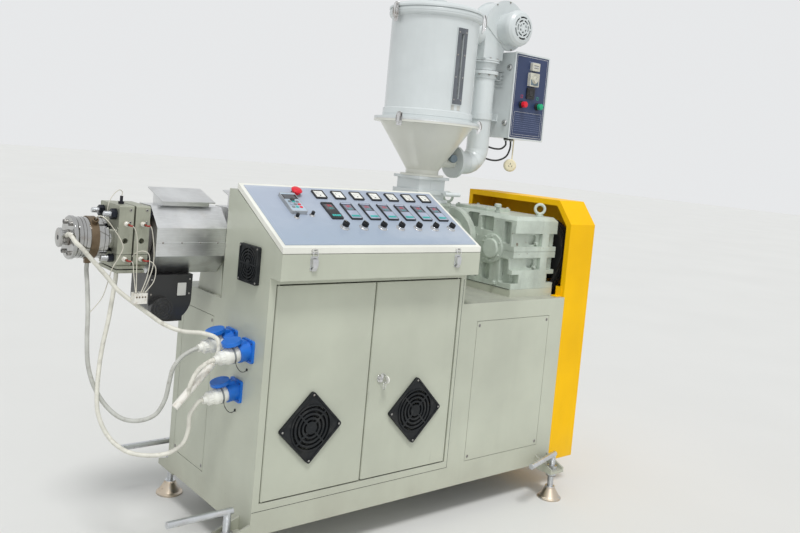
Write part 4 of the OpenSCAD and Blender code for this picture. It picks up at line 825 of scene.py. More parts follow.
@dataclass(frozen=True)
class Overlay:
    """Printed film on the console: a tone that pales up the slope, rub marks and fine grain."""

    name: str = "fascia_film"
    low: Colour = srgb(155, 169, 186)
    high: Colour = srgb(164, 174, 190)
    rubbed: Colour = (0.80, 0.82, 0.84)
    dirt: Colour = (0.34, 0.34, 0.32)
    span: Pair = (1.08, 1.22)

    def build(self) -> bpy.types.Material:
        """Makes the material."""
        g = Graph(self.name)
        colour = g.mix(self.low, self.high, g.height().step(*self.span))
        rub = g.noise(6, 5, (0.4, 1, 1)).step(0.45, 0.8)
        colour = g.mix(colour, self.rubbed, rub * 0.28)
        colour = g.mix(colour, self.dirt, g.noise(30, 5).step(0.56, 0.8) * 0.16)
        fine = g.noise(1400, 2)
        rough = 0.36 + rub * 0.12 + fine * 0.10
        return g.finish(colour, rough, normal=g.normal(fine, 0.00005, 0.0006), coat=0.2)


@dataclass(frozen=True)
class Glaze:
    """Glazed porcelain with brown heat stains."""

    name: str = "porcelain"
    colour: Colour = (0.78, 0.76, 0.70)
    stain: Colour = (0.30, 0.20, 0.11)

    def build(self) -> bpy.types.Material:
        """Makes the material."""
        g = Graph(self.name)
        mark = g.noise(60, 5).step(0.45, 0.75)
        colour = g.mix(self.colour, self.stain, mark * 0.5)
        normal = g.normal(g.noise(400, 3), 0.0001, 0.001)
        return g.finish(colour, 0.25 + mark * 0.35, normal=normal, coat=0.5)


@dataclass(frozen=True)
class Pane:
    """Dark sight glass, dusted inside by granulate."""

    name: str = "sight_pane"
    clean: Colour = (0.10, 0.11, 0.12)
    dusted: Colour = (0.42, 0.44, 0.44)

    def build(self) -> bpy.types.Material:
        """Makes the material."""
        g = Graph(self.name)
        film = g.noise(30, 5).step(0.35, 0.8)
        return g.finish(g.mix(self.clean, self.dusted, film * 0.35), 0.08 + film * 0.25, coat=0.8)


class Finishes:
    """All the machine's finishes, each made once and kept under its own name."""

    def __init__(self) -> None:
        """Builds the paints, metals, plastics and sheaths in turn."""
        self.paints()
        self.metals()
        self.plastics()
        self.faces()
        self.sheaths()

    def paints(self) -> None:
        """Enamels of the sheet metal, and the paint of the castings."""
        clean = {"rough": 0.3, "dust_top": 0.0, "wear": 0.2, "coat": 0.4}
        # The beige carries painted shade on its up-facing faces.
        self.beige = Enamel("beige_enamel", srgb(190, 194, 177), painted_top_shade=0.7).build()
        self.cream = Enamel("cream_enamel", srgb(236, 236, 226), wear=0.2, dust_share=0.0).build()
        self.white = Enamel("white_enamel", srgb(216, 222, 222), **clean).build()
        self.cone = Enamel("cone_enamel", srgb(222, 223, 213), **clean).build()
        self.yellow = Enamel("yellow_enamel", srgb(254, 194, 0), rough=0.42, wear=0.5, coat=0.0,
                             gloss=0.14, dust_top=0.3, dust_share=0.2).build()
        self.navy = Enamel("navy_plate", srgb(47, 61, 96), rough=0.4, wear=0.1, dust_top=0.0,
                           coat=0.1).build()
        self.black_paint = Enamel("black_paint", (0.018, 0.018, 0.018), rough=0.35, dust_top=0.0,
                                  wear=0.6, bare=(0.25, 0.24, 0.22)).build()
        self.cast = Casting("cast_paint", srgb(190, 200, 188)).build()

    def metals(self) -> None:
        """Bare and plated metals."""
        self.block = Metal("passivated_plate", (0.42, 0.43, 0.35), 0.38, (1, 1, 0.1),
                           stain=(0.16, 0.18, 0.12), stain_share=0.5, rust=0.3, metal=0.75).build()
        self.steel = Metal("brushed_steel", (0.74, 0.75, 0.75), 0.24, (0.06, 1, 1), stain_share=0.12).build()
        self.chrome = Metal("bright_chrome", (0.74, 0.74, 0.74), 0.08, stain_share=0.22).build()
        self.die_steel = Metal("polished_die", (0.50, 0.50, 0.49), 0.07, (1, 0.06, 0.06), 0.00001,
                               (0.20, 0.14, 0.09), 0.45, haze=0.35).build()
        self.oxide = Metal("black_oxide", (0.035, 0.038, 0.05), 0.3, stain=(0.10, 0.07, 0.05),
                           stain_share=0.3).build()
        self.zinc = Metal("jack_zinc", (0.68, 0.70, 0.72), 0.26, rust=0.5, stain_share=0.22,
                          foot=(0.62, 0.53, 0.42)).build()
        self.galvanised = Metal("galvanised", (0.68, 0.69, 0.70), 0.32, stain_share=0.15, rust=0.2).build()
        self.blued = Metal("heat_stained_steel", (0.13, 0.125, 0.12), 0.42, stain=(0.20, 0.09, 0.04),
                           stain_share=0.5, rust=0.5).build()
        self.brass = Metal("dull_bronze", (0.20, 0.15, 0.10), 0.34, stain=(0.08, 0.05, 0.03),
                           stain_share=0.5).build()
        self.bolt = Metal("bolt_steel", (0.42, 0.41, 0.39), 0.34, rust=0.4, stain_share=0.3).build()

    def plastics(self) -> None:
        """Moulded plastics, the rubber of the belts, porcelain and glass."""
        self.black = Plastic("black_plastic", (0.010, 0.012, 0.014), 0.42, dust_share=0.06,
                             gloss=0.25).build()
        self.gloss_black = Plastic("instrument_black", (0.014, 0.014, 0.016), 0.28,
                                   dust_share=0.06).build()
        self.blue = Plastic("blue_plastic", srgb(20, 108, 205), 0.36, dust_share=0.12).build()
        self.dark_blue = Plastic("flange_blue", srgb(14, 62, 128), 0.42).build()
        self.red = Plastic("red_plastic", srgb(222, 24, 46), 0.28, dust_share=0.05).build()
        self.green = Plastic("green_plastic", srgb(18, 168, 118), 0.28, dust_share=0.05).build()
        self.white_plastic = Plastic("white_plastic", srgb(232, 232, 224), 0.4, dust=(0.25, 0.22, 0.17),
                                     dust_share=0.24).build()
        self.grey_plastic = Plastic("grey_plastic", srgb(128, 132, 134), 0.42).build()
        self.socket_cream = Plastic("cream_plastic", srgb(232, 222, 190), 0.4).build()
        self.rubber = Plastic("drive_rubber", (0.02, 0.02, 0.02), 0.7, 0.0004, soft=0.2).build()
        self.plug = Plastic("blue_grey_plug", srgb(112, 128, 138), 0.4).build()
        self.ivory = Plastic("ivory_housing", srgb(206, 204, 190), 0.35, dust_share=0.08).build()
        self.porcelain = Glaze().build()
        self.pane = Pane().build()

    def faces(self) -> None:
        """Films, displays, keys and dials of the instruments."""
        self.fascia = Overlay().build()
        self.dial = Plastic("dial_face", srgb(238, 238, 232), 0.3, 0.00003, dust_share=0.05).build()
        self.keypad = Plastic("keypad_face", srgb(172, 188, 202), 0.38, dust_share=0.08).build()
        self.display = Plastic("grey_display", srgb(84, 86, 90), 0.22, dust_share=0.03).build()
        self.pale_grey = Plastic("pale_grey_plastic", srgb(166, 170, 174), 0.38).build()
        self.pale_display = Plastic("pale_display", srgb(116, 120, 134), 0.2, dust_share=0.03).build()
        self.label = Plastic("blank_plate", srgb(190, 190, 184), 0.45, dust_share=0.2).build()
        self.teal = Plastic("teal_keys", srgb(58, 176, 170), 0.4, dust_share=0.05).build()
        self.controller = Plastic("controller_face", srgb(172, 180, 200), 0.25, dust_share=0.04).build()
        self.frame = Plastic("window_frame_grey", srgb(96, 100, 106), 0.42, dust_share=0.12).build()
        self.rule = Plastic("ruled_lines", srgb(128, 140, 172), 0.4, dust_share=0.0).build()

    def sheaths(self) -> None:
        """Sheaths of the cables and sleeves of the wires."""
        self.cable_white = Sheath("white_sheath", srgb(226, 224, 212)).build()
        self.cable_grey = Sheath("grey_hose", srgb(192, 193, 186)).build()
        self.cable_black = Sheath("black_sheath", (0.018, 0.018, 0.018), (0.2, 0.19, 0.17), 0.2).build()
        self.wire_red = Sheath("red_sleeve", srgb(150, 44, 34), (0.1, 0.05, 0.04)).build()
        self.wire_white = Sheath("glass_sleeve", srgb(214, 210, 196), (0.25, 0.2, 0.14), 0.5).build()


@dataclass
class Studio:
    """Floor, lamps and the camera at the photograph's place."""

    eye: Spot = (-1347.6, -2219.6, 1401.1)
    yaw: float = 39.55
    pitch: float = -3.42
    roll: float = 5.22
    focal_px: float = 825.62
    centre_px: Pair = (397.36, 200.0)
    image_px: tuple[int, int] = (800, 533)
    sensor_mm: float = 36.0
    floor_reach: float = 40.0
    light: Colour = (0.96, 0.98, 1.0)
    light_strength: float = 0.62
    backdrop: Colour = (0.80, 0.81, 0.82)

    def camera(self) -> None:
        """Sets the camera: forward from yaw and pitch, right and up turned by the roll."""
        yaw, pitch, roll = (math.radians(a) for a in (self.yaw, self.pitch, self.roll))
        ahead = np.array([math.sin(yaw) * math.cos(pitch), math.cos(yaw) * math.cos(pitch),
                          math.sin(pitch)])
        level = np.array([math.cos(yaw), -math.sin(yaw), 0.0])
        upward = np.cross(level, ahead)
        right = level * math.cos(roll) + upward * math.sin(roll)
        up = -level * math.sin(roll) + upward * math.cos(roll)
        data = bpy.data.cameras.new("camera")
        data.sensor_width = self.sensor_mm
        data.lens = self.focal_px / self.image_px[0] * self.sensor_mm
        data.shift_x = (self.image_px[0] / 2 - self.centre_px[0]) / self.image_px[0]
        data.shift_y = (self.centre_px[1] - self.image_px[1] / 2) / self.image_px[0]
        data.clip_end = 60
        camera = bpy.data.objects.new("camera", data)
        bpy.context.scene.collection.objects.link(camera)
        spot = place(self.eye)
        camera.matrix_world = Matrix([[*row, where] for row, where in
                                      zip(np.column_stack([right, up, -ahead]), spot)] + [[0, 0, 0, 1]])
        bpy.context.scene.camera = camera

    def sun(self, name: str, energy: float, toward: Spot, spread: float) -> None:
        """Adds one sun lamp.

        Args:
            name: its name.
            energy: its strength.
            toward: the direction of its light.
            spread: how wide it looks, in degrees; a wide sun casts soft shadows.
        """
        data = bpy.data.lights.new(name, "SUN")
        data.energy = energy
        data.angle = math.radians(spread)
        lamp = bpy.data.objects.new(name, data)
        bpy.context.scene.collection.objects.link(lamp)
        back = -np.asarray(toward, float) / np.linalg.norm(toward)
        _, u, v = frame_of(back)
        lamp.matrix_world = Matrix([[*row, 0.0] for row in np.column_stack([u, v, back])] + [[0, 0, 0, 1]])

    def floor(self) -> None:
        """Lays the pale floor, with a faint mottle."""
        mesh = bpy.data.meshes.new("floor")
        corners = np.array([[-1, -1, 0], [1, -1, 0], [1, 1, 0], [-1, 1, 0]]) * self.floor_reach
        mesh.from_pydata(corners.tolist(), [], [(0, 1, 2, 3)])
        g = Graph("floor_paint")
        mottle = g.mix((0.66, 0.66, 0.64), (0.72, 0.72, 0.70), g.noise(0.8, 4))
        mesh.materials.append(g.finish(mottle, 0.75))
        made = bpy.data.objects.new("floor", mesh)
        bpy.context.scene.collection.objects.link(made)

    def sky(self) -> None:
        """Lights the scene evenly and shows a pale backdrop to camera, glossy and transmitted rays."""
        world = bpy.data.worlds.new("studio")
        bpy.context.scene.world = world
        world.use_nodes = True
        tree = world.node_tree
        tree.nodes.clear()
        rays = tree.nodes.new("ShaderNodeLightPath").outputs
        seen = rays["Is Camera Ray"]
        for name in ("Is Glossy Ray", "Is Transmission Ray"):
            joint = tree.nodes.new("ShaderNodeMath")
            joint.operation = "MAXIMUM"
            tree.links.new(seen, joint.inputs[0])
            tree.links.new(rays[name], joint.inputs[1])
            seen = joint.outputs[0]
        glows = []
        for colour, strength in ((self.light, self.light_strength), (self.backdrop, 1.0)):
            glow = tree.nodes.new("ShaderNodeBackground")
            glow.inputs["Color"].default_value = (*colour, 1.0)
            glow.inputs["Strength"].default_value = strength
            glows.append(glow.outputs[0])
        mix = tree.nodes.new("ShaderNodeMixShader")
        for source, target in zip((seen, *glows), mix.inputs):
            tree.links.new(source, target)
        out = tree.nodes.new("ShaderNodeOutputWorld")
        tree.links.new(mix.outputs[0], out.inputs[0])

    def build(self) -> None:
        """Sets up camera, lamps, floor and sky."""
        scene = bpy.context.scene
        scene.view_settings.view_transform = "Standard"
        self.camera()
        self.sun("high_sun", 1.7, (0.25, 0.45, -1.0), 14)
        self.sun("front_fill", 0.35, (0.5, 1.0, -0.35), 60)
        self.floor()
        self.sky()


@dataclass
class Group:
    """Pieces that are made together, with the workshop that makes them and the machine's finishes."""

    shop: Workshop
    look: Finishes
    body: Body = Body.FRAME

    def put(self, name: str, shells: Sequence[Shell], finish: bpy.types.Material,
            slot: str = "instrument", body: Body | None = None) -> None:
        """Makes a piece that rides on the group's own body, unless another is named."""
        self.shop.piece(name, shells, finish, slot, body or self.body)


@dataclass
class Cables(Group):
    """The cables, each along the route of its solid."""

    box_side: float = 1333.0
    sheath: float = 14.0
    dryer_sheath: float = 8.0

    def plug_start(self, y: float, z: float) -> Route:
        """The first two points behind a tilted plug: 124 mm and 138 mm along its axis."""
        tilt = math.radians(10)
        return [[-d * math.cos(tilt), y, z - d * math.sin(tilt)] for d in (124, 138)]

    def routes(self) -> dict[str, Route]:
        """Route points of each cable in machine millimetres, as in the source of the solids."""
        return {
            "die_cable": [[-502.5, 403.1, 1043], [-503, 381, 1051], [-502, 357, 1047], [-494, 343, 1032],
                          [-473, 338, 1012], [-449, 334, 984], [-420, 330, 952], [-389, 326, 917],
                          [-358, 321, 880], [-311, 311, 842], [-257, 298, 801], [-213, 280, 770],
                          [-165, 250, 752], [-112, 204, 752], [-84, 162, 742], [-84, 142, 712],
                          [-100, 134, 676]],
            "plug_cable_a": self.plug_start(212, 722) + [
                [-172, 216, 678], [-198, 223, 640], [-206, 228, 590], [-212, 236, 535], [-234, 249, 485],
                [-277, 273, 462], [-325, 304, 467], [-368, 332, 506], [-402, 350, 565], [-423, 360, 635],
                [-429, 368, 715], [-428, 380, 800], [-427, 404, 880], [-426, 425, 926.7], [-426, 425, 952.7]],
            "plug_cable_b": self.plug_start(97, 712) + [[-168, 104, 664], [-187, 112, 622], [-192, 118, 582]],
            "plug_cable_c": self.plug_start(153, 566) + [
                [-159, 159, 500], [-157, 166, 450], [-168, 176, 402], [-206, 196, 370], [-262, 227, 361],
                [-320, 261, 373], [-366, 292, 415], [-393, 318, 478], [-399, 330, 540], [-393, 345, 625],
                [-382, 356, 700], [-366, 364, 780], [-352, 378, 860], [-345, 384, 906], [-345, 384, 930]],
            "dryer_cable_outer": [
                [self.box_side, 440, 1700], [self.box_side - 18, 440, 1700], [1294, 447, 1680],
                [1276, 458, 1630], [1267, 463, 1565], [1266, 456, 1490], [1284, 446, 1430],
                [1318, 420, 1403], [1362, 388, 1397], [1398, 366, 1418], [1413, 360, 1456],
                [1413, 360, 1488]],
            "dryer_cable_inner": [
                [self.box_side, 440, 1670], [self.box_side - 16, 440, 1670], [1300, 445, 1645],
                [1288, 450, 1590], [1286, 447, 1520], [1300, 430, 1472], [1332, 402, 1452],
                [1364, 374, 1450], [1381, 360, 1468], [1381, 360, 1488]]}

    def build(self) -> None:
        """Lays every cable."""
        routes = self.routes()
        white, grey, black = self.look.cable_white, self.look.cable_grey, self.look.cable_black
        for name, node, finish, rest in (
                ("lead_die", "die_cable", white, {"with_pieces": ["cable_joints"]}),
                ("lead_upper_plug", "plug_cable_a", grey, {"with_pieces": ["power_plugs"]}),
                ("lead_side_plug", "plug_cable_b", white, {"stiffness": Stiffness.STIFF}),
                ("lead_lower_plug", "plug_cable_c", white, {})):
            self.shop.cord(name, routes[node], self.sheath, finish, "cordwhite", node, **rest)
        for name, node in (("lead_blower", "dryer_cable_outer"), ("lead_heater", "dryer_cable_inner")):
            self.shop.cord(name, routes[node], self.dryer_sheath, black, "cordblack", node)


def spin(degrees: float) -> Array:
    """Matrix that turns the local X and Y plane counter-clockwise."""
    c, s = math.cos(math.radians(degrees)), math.sin(math.radians(degrees))
    return np.array([[c, -s, 0], [s, c, 0], [0, 0, 1]])


def slab(width: float, height: float, thick: float, radius: float = 1.0, at: Sequence[float] = (0, 0),
         bevel: float = 0.3, up: float = 0.0) -> Shell:
    """A thin round-cornered plate.

    Args:
        width: size along local X.
        height: size along local Y.
        thick: size along local Z.
        radius: corner radius.
        at: its centre.
        bevel: how far the top edge is drawn in.
        up: height of its foot.

    Returns:
        A closed shell.
    """
    points, faces = plate(rounded_outline(width, height, radius, 4) + np.asarray(at, float), thick, bevel)
    return points + [0, 0, up], faces


def rim(outer: Pair, inner: Pair, thick: float, radius: float = 2.0,
        bevel: float = 0.3, up: float = 0.0) -> Shell:
    """A flat frame: an outer and an inner outline joined above, below and through the hole.

    Args:
        outer: width and height of the frame.
        inner: width and height of its hole.
        thick: size along local Z.
        radius: corner radius of the outer outline.
        bevel: how far the top edge is drawn in.
        up: height of its foot.

    Returns:
        A closed ring of a shell.
    """
    wide, hole = rounded_outline(*outer, radius), rounded_outline(*inner, max(radius * 0.6, 0.3))
    top = rounded_outline(outer[0] - 2 * bevel, outer[1] - 2 * bevel, radius)
    rows = ((wide, 0.0), (wide, thick - bevel), (top, thick), (hole, thick), (hole, 0.0), (wide, 0.0))
    grid = np.array([np.column_stack([o, np.full(len(o), z + up)]) for o, z in rows])
    return grid_shell(grid, capped=False)


def bent(shell: Shell, radius: float) -> Shell:
    """Rolls a flat shell round an axis along Y.

    Args:
        shell: a shell lying on the XY plane.
        radius: radius of the cylinder it is laid on.

    Returns:
        The rolled shell; its x runs round the cylinder and its z out of it.
    """
    x, y, z = shell[0].T
    turn, reach = x / radius, radius + z
    return np.column_stack([reach * np.sin(turn), y, reach * np.cos(turn)]), shell[1]


@dataclass
class Console(Group):
    """The sloping console: dials, controllers, keypad, switches and catches on the lid."""

    body: Body = Body.LID
    foot: Spot = (0.0, -60.0, 1071.0)
    rise: float = 174.0
    run: float = 316.0
    first: float = 294.0
    pitch: float = 82.0
    count: int = 7
    meter_up: float = 303.0
    controller_up: float = 204.0
    knob_up: float = 109.0
    keypad_at: Pair = (150.0, 237.0)
    stop_across: float = 195.0
    border_at: Pair = (430.0, 180.4)
    latches: Pair = (117.0, 743.0)
    toggles: tuple[Pair, ...] = ((130.0, 162.0), (198.0, 176.0))
    film: float = 2.0
    bezel: float = 6.0

    def __post_init__(self) -> None:
        """Works out the slope's matrix and the columns."""
        angle = math.atan2(self.rise, self.run)
        self.turn = facing((0, -math.sin(angle), math.cos(angle)), (0, 1, 0))
        self.columns = [self.first + i * self.pitch for i in range(self.count)]

    def on_slope(self, shells: Sequence[Shell], across: float, up: float, high: float = 0.0) -> list[Shell]:
        """Shells set on the fascia.

        Args:
            shells: shells in the slope's own axes.
            across: distance from the console's left side.
            up: distance up the slope.
            high: height above the fascia.

        Returns:
            The shells in machine millimetres.
        """
        spot = np.asarray(self.foot) + self.turn @ np.array([across, up, self.film + high])
        return [moved(shell, self.turn, spot) for shell in shells]

    def meters(self) -> None:
        """White dials with an arc of ticks and a needle, sunk in their bezels."""
        dials, marks, needles = [], [], []
        for index, x in enumerate(self.columns):
            ticks = [moved(slab(0.4, 3.0 if k % 5 == 0 else 1.6, 0.2, 0.1, (0, 18), 0.05), spin(turn),
                           (0, -8, 0)) for k, turn in enumerate(np.linspace(46, -46, 11))]
            needle = moved(slab(0.6, 20, 0.4, 0.2, (0, 10), 0.1), spin(40 - 2 * index), (0, -9, 0))
            dials += self.on_slope([slab(37.6, 37.6, 1.6)], x, self.meter_up, self.bezel - 2.5)
            marks += self.on_slope(ticks, x, self.meter_up, self.bezel - 0.9)
            pivot = lathe([(2.6, 0), (2.4, 0.7), (1.4, 0.9)], (0, -9, 0), (0, 0, 1), 16)
            needles += self.on_slope([needle, pivot], x, self.meter_up, self.bezel - 0.9)
        self.put("meter_dials", dials, self.look.dial)
        self.put("meter_ticks", marks, self.look.frame)
        self.put("meter_needles", needles, self.look.gloss_black)

    def figure(self, value: str, size: float) -> list[Shell]:
        """Lit bars of a seven-segment figure, centred in the slope's plane.

        Args:
            value: one figure.
            size: its height.

        Returns:
            The lit bars.
        """
        lit = {"0": "abcdef", "1": "bc", "2": "abged", "5": "afgcd", "8": "abcdefg"}[value]
        wide, half, bar = size * 0.46, size / 2, size * 0.13
        spots = {"a": (0, half, wide, bar), "g": (0, 0, wide, bar), "d": (0, -half, wide, bar),
                 "b": (wide / 2, half / 2, bar, half * 0.8), "c": (wide / 2, -half / 2, bar, half * 0.8),
                 "f": (-wide / 2, half / 2, bar, half * 0.8), "e": (-wide / 2, -half / 2, bar, half * 0.8)}
        return [slab(spots[k][2], spots[k][3], 0.25, 0.1, spots[k][:2], 0.05) for k in lit]

    def number(self, value: str, size: float, up: float) -> list[Shell]:
        """A row of figures on a display.

        Args:
            value: its figures.
            size: their height.
            up: their middle's distance up the display.

        Returns:
            The lit bars.
        """
        step = size * 0.85
        return [moved(shell, UPWARD, ((k - (len(value) - 1) / 2) * step, up, 0))
                for k, sign in enumerate(value) for shell in self.figure(sign, size)]

    def controllers(self) -> None:
        """Controller faces, a dark one first, with a display, lit figures and teal keys."""
        pale, dark, shows, dim, red, teal = [], [], [], [], [], []
        for index, x in enumerate(self.columns):
            target = dark if index == 0 else pale
            target += self.on_slope([slab(42, 45, 0.6, 1.5, (0, -22)), slab(42, 7, 0.6, 1.0, (0, 42.5))],
                                    x, self.controller_up, self.bezel)
            window = self.controller_up + 21.1
            target = dim if index == 0 else shows
            target += self.on_slope([slab(37.6, 34.0, 1.4)], x, window, self.bezel - 2.5)
            red += self.on_slope(self.number("185", 10, 7), x, window, self.bezel - 1.1)
            teal += self.on_slope(self.number("180", 8, -9), x, window, self.bezel - 1.1)
            teal += self.on_slope([slab(7.4, 10.0, 1.9, 1.0, (k * 9, -33)) for k in (-1.5, -0.5, 0.5, 1.5)],
                                  x, self.controller_up, self.bezel)
        self.put("controller_faces", pale, self.look.controller)
        self.put("controller_face_first", dark, self.look.gloss_black)
        self.put("controller_displays", shows, self.look.pale_display)
        self.put("controller_display_first", dim, self.look.display)
        self.put("controller_figures", red, self.look.red)
        self.put("controller_keys", teal, self.look.teal)

    def keypad(self) -> None:
        """Pale keypad face and bezel, grey display, coloured keys and the round dial key."""
        x, up = self.keypad_at
        face = [slab(57, 68, 0.6, 3.0, (0, -18)), slab(57, 9, 0.6, 2.0, (0, 48.4))]
        self.put("keypad_face", self.on_slope(face, x, up, 12.0), self.look.keypad)
        bezel = rim((61.8, 111.8), (57.4, 105.4), 0.7, 5.4, up=12.0)
        skirt = rim((61.8, 111.8), (60.4, 110.4), 12.5, 5.4)
        self.put("keypad_bezel", self.on_slope([bezel, skirt], x, up), self.look.pale_grey)
        self.put("keypad_display", self.on_slope([slab(45, 23.6, 1.5)], x, up + 32, 10.2), self.look.display)
        keys = {"grey": (self.look.grey_plastic, ((-1, 0), (0, -1), (1, 0), (-1, -2))),
                "teal": (self.look.teal, ((0, 0), (0, -2))), "red": (self.look.red, ((1, -1), (1, -2))),
                "blue": (self.look.controller, ((-1, -1),))}
        for tone, (finish, spots) in keys.items():
            caps = [slab(10.6, 8.6, 2.0, 1.6, (i * 15, j * 16)) for i, j in spots]
            self.put(f"keypad_keys_{tone}", self.on_slope(caps, x, up, 12.6), finish)
        dial = lathe([(8.2, 0), (8.0, 3.6), (7.2, 4.6), (3.0, 4.6), (2.4, 4.0)], (0, 10, 0), (0, 0, 1), 28)
        self.put("keypad_dial", self.on_slope([dial], x, up, 12.6), self.look.gloss_black)

    def grip(self) -> Shell:
        """A knob's ribbed skirt: its radius waves eighteen times round."""
        turn = ring_angles(72)
        radius = 11.7 + 0.45 * np.cos(turn * 18)
        share, height = np.array([1.0, 1.0, 0.88]), np.array([3.4, 20.6, 22.3])
        flat = share[:, None, None] * np.stack([radius * np.cos(turn), radius * np.sin(turn)], -1)
        return grid_shell(np.concatenate([flat, np.broadcast_to(height[:, None, None], (3, 72, 1))], -1))

    def knobs(self) -> None:
        """Chrome rings, ribbed grips and white pointers of the selector knobs, and the toggles' collars."""
        rings, grips, lines = [], [], []
        ring = lathe([(17.0, 0), (17.0, 1.6), (15.6, 3.2), (13.2, 3.6), (12.6, 9.0), (11.9, 9.6)], sides=40)
        for index, x in enumerate(self.columns):
            turn = spin(28 if index == 0 else 0)
            parts = [self.grip(), slab(6.4, 22.6, 8.2, 1.6, bevel=1.0, up=17.6)]
            rings += self.on_slope([ring], x, self.knob_up)
            pointer = slab(1.4, 9, 0.3, 0.3, (0, 6), up=25.8)
            grips += self.on_slope([moved(part, turn, (0, 0, 0)) for part in parts], x, self.knob_up)
            lines += self.on_slope([moved(pointer, turn, (0, 0, 0))], x, self.knob_up)
        collar = lathe([(10, 0), (10, 1.4), (8.6, 3.2), (7.4, 5.0), (6.6, 5.0)], sides=24)
        for x, up in self.toggles:
            rings += self.on_slope([collar], x, up)
        self.put("knob_rings", rings, self.look.chrome, "knob")
        self.put("knob_grips", grips, self.look.black, "knob")
        self.put("knob_pointers", lines, self.look.dial, "knob")

    def trim(self) -> None:
        """The stop button's collar and the printed border of the fascia."""
        collar = lathe([(17.4, 0), (17.4, 4.6), (16.2, 5.6), (12.4, 5.6)], sides=40)
        self.put("stop_collar", self.on_slope([collar], self.stop_across, self.meter_up),
                 self.look.grey_plastic)
        border = rim((806, 307), (803.6, 304.6), 0.12, 3.0, 0.03)
        self.put("fascia_border", self.on_slope([border], *self.border_at, 0.02), self.look.controller,
                 "fascia")

    def catches(self) -> None:
        """Rivets, hooks and wire bails of the two draw latches; hook and bail ride the lid."""
        heads = [moved(shell, FRONT, (x + dx, -64.0, z)) for x in self.latches for dx in (-7, 7)
                 for z in (1002.0, 1012.0) for shell in pan_head(2.4, 1.4)]
        self.put("latch_rivets", heads, self.look.bolt, "galvanised", Body.FRAME)
        hooks, bails = [], []
        shells = (slab(24, 15, 1.4, 2.0), slab(11, 3.4, 5.0, 1.2, (0, 3.2), 0.6))
        side = np.array([[8.8, -70, 1041.6], [8.8, -69, 1050], [8.4, -66.4, 1060], [6.6, -65.4, 1065],
                         [3, -65.2, 1066.4]])
        for x in self.latches:
            hooks += [moved(shell, FRONT, (x, -60.0, 1059.0)) for shell in shells]
            hooks += [moved(shell, FRONT, (x + dx, -61.4, 1056.0)) for dx in (-8, 8)
                      for shell in pan_head(2.1, 1.1)]
            loop = np.vstack([side * (-1, 1, 1), (side * (1, 1, 1))[::-1]]) + (x, 0, 0)
            bails.append(tube(smooth_path(loop, 4), 1.2, 8))
        self.put("latch_hooks", hooks, self.look.chrome, "galvanised")
        self.put("latch_bails", bails, self.look.chrome, "galvanised")

    def build(self) -> None:
        """Makes every piece of the console."""
        self.meters()
        self.controllers()
        self.keypad()
        self.knobs()
        self.trim()
        self.catches()


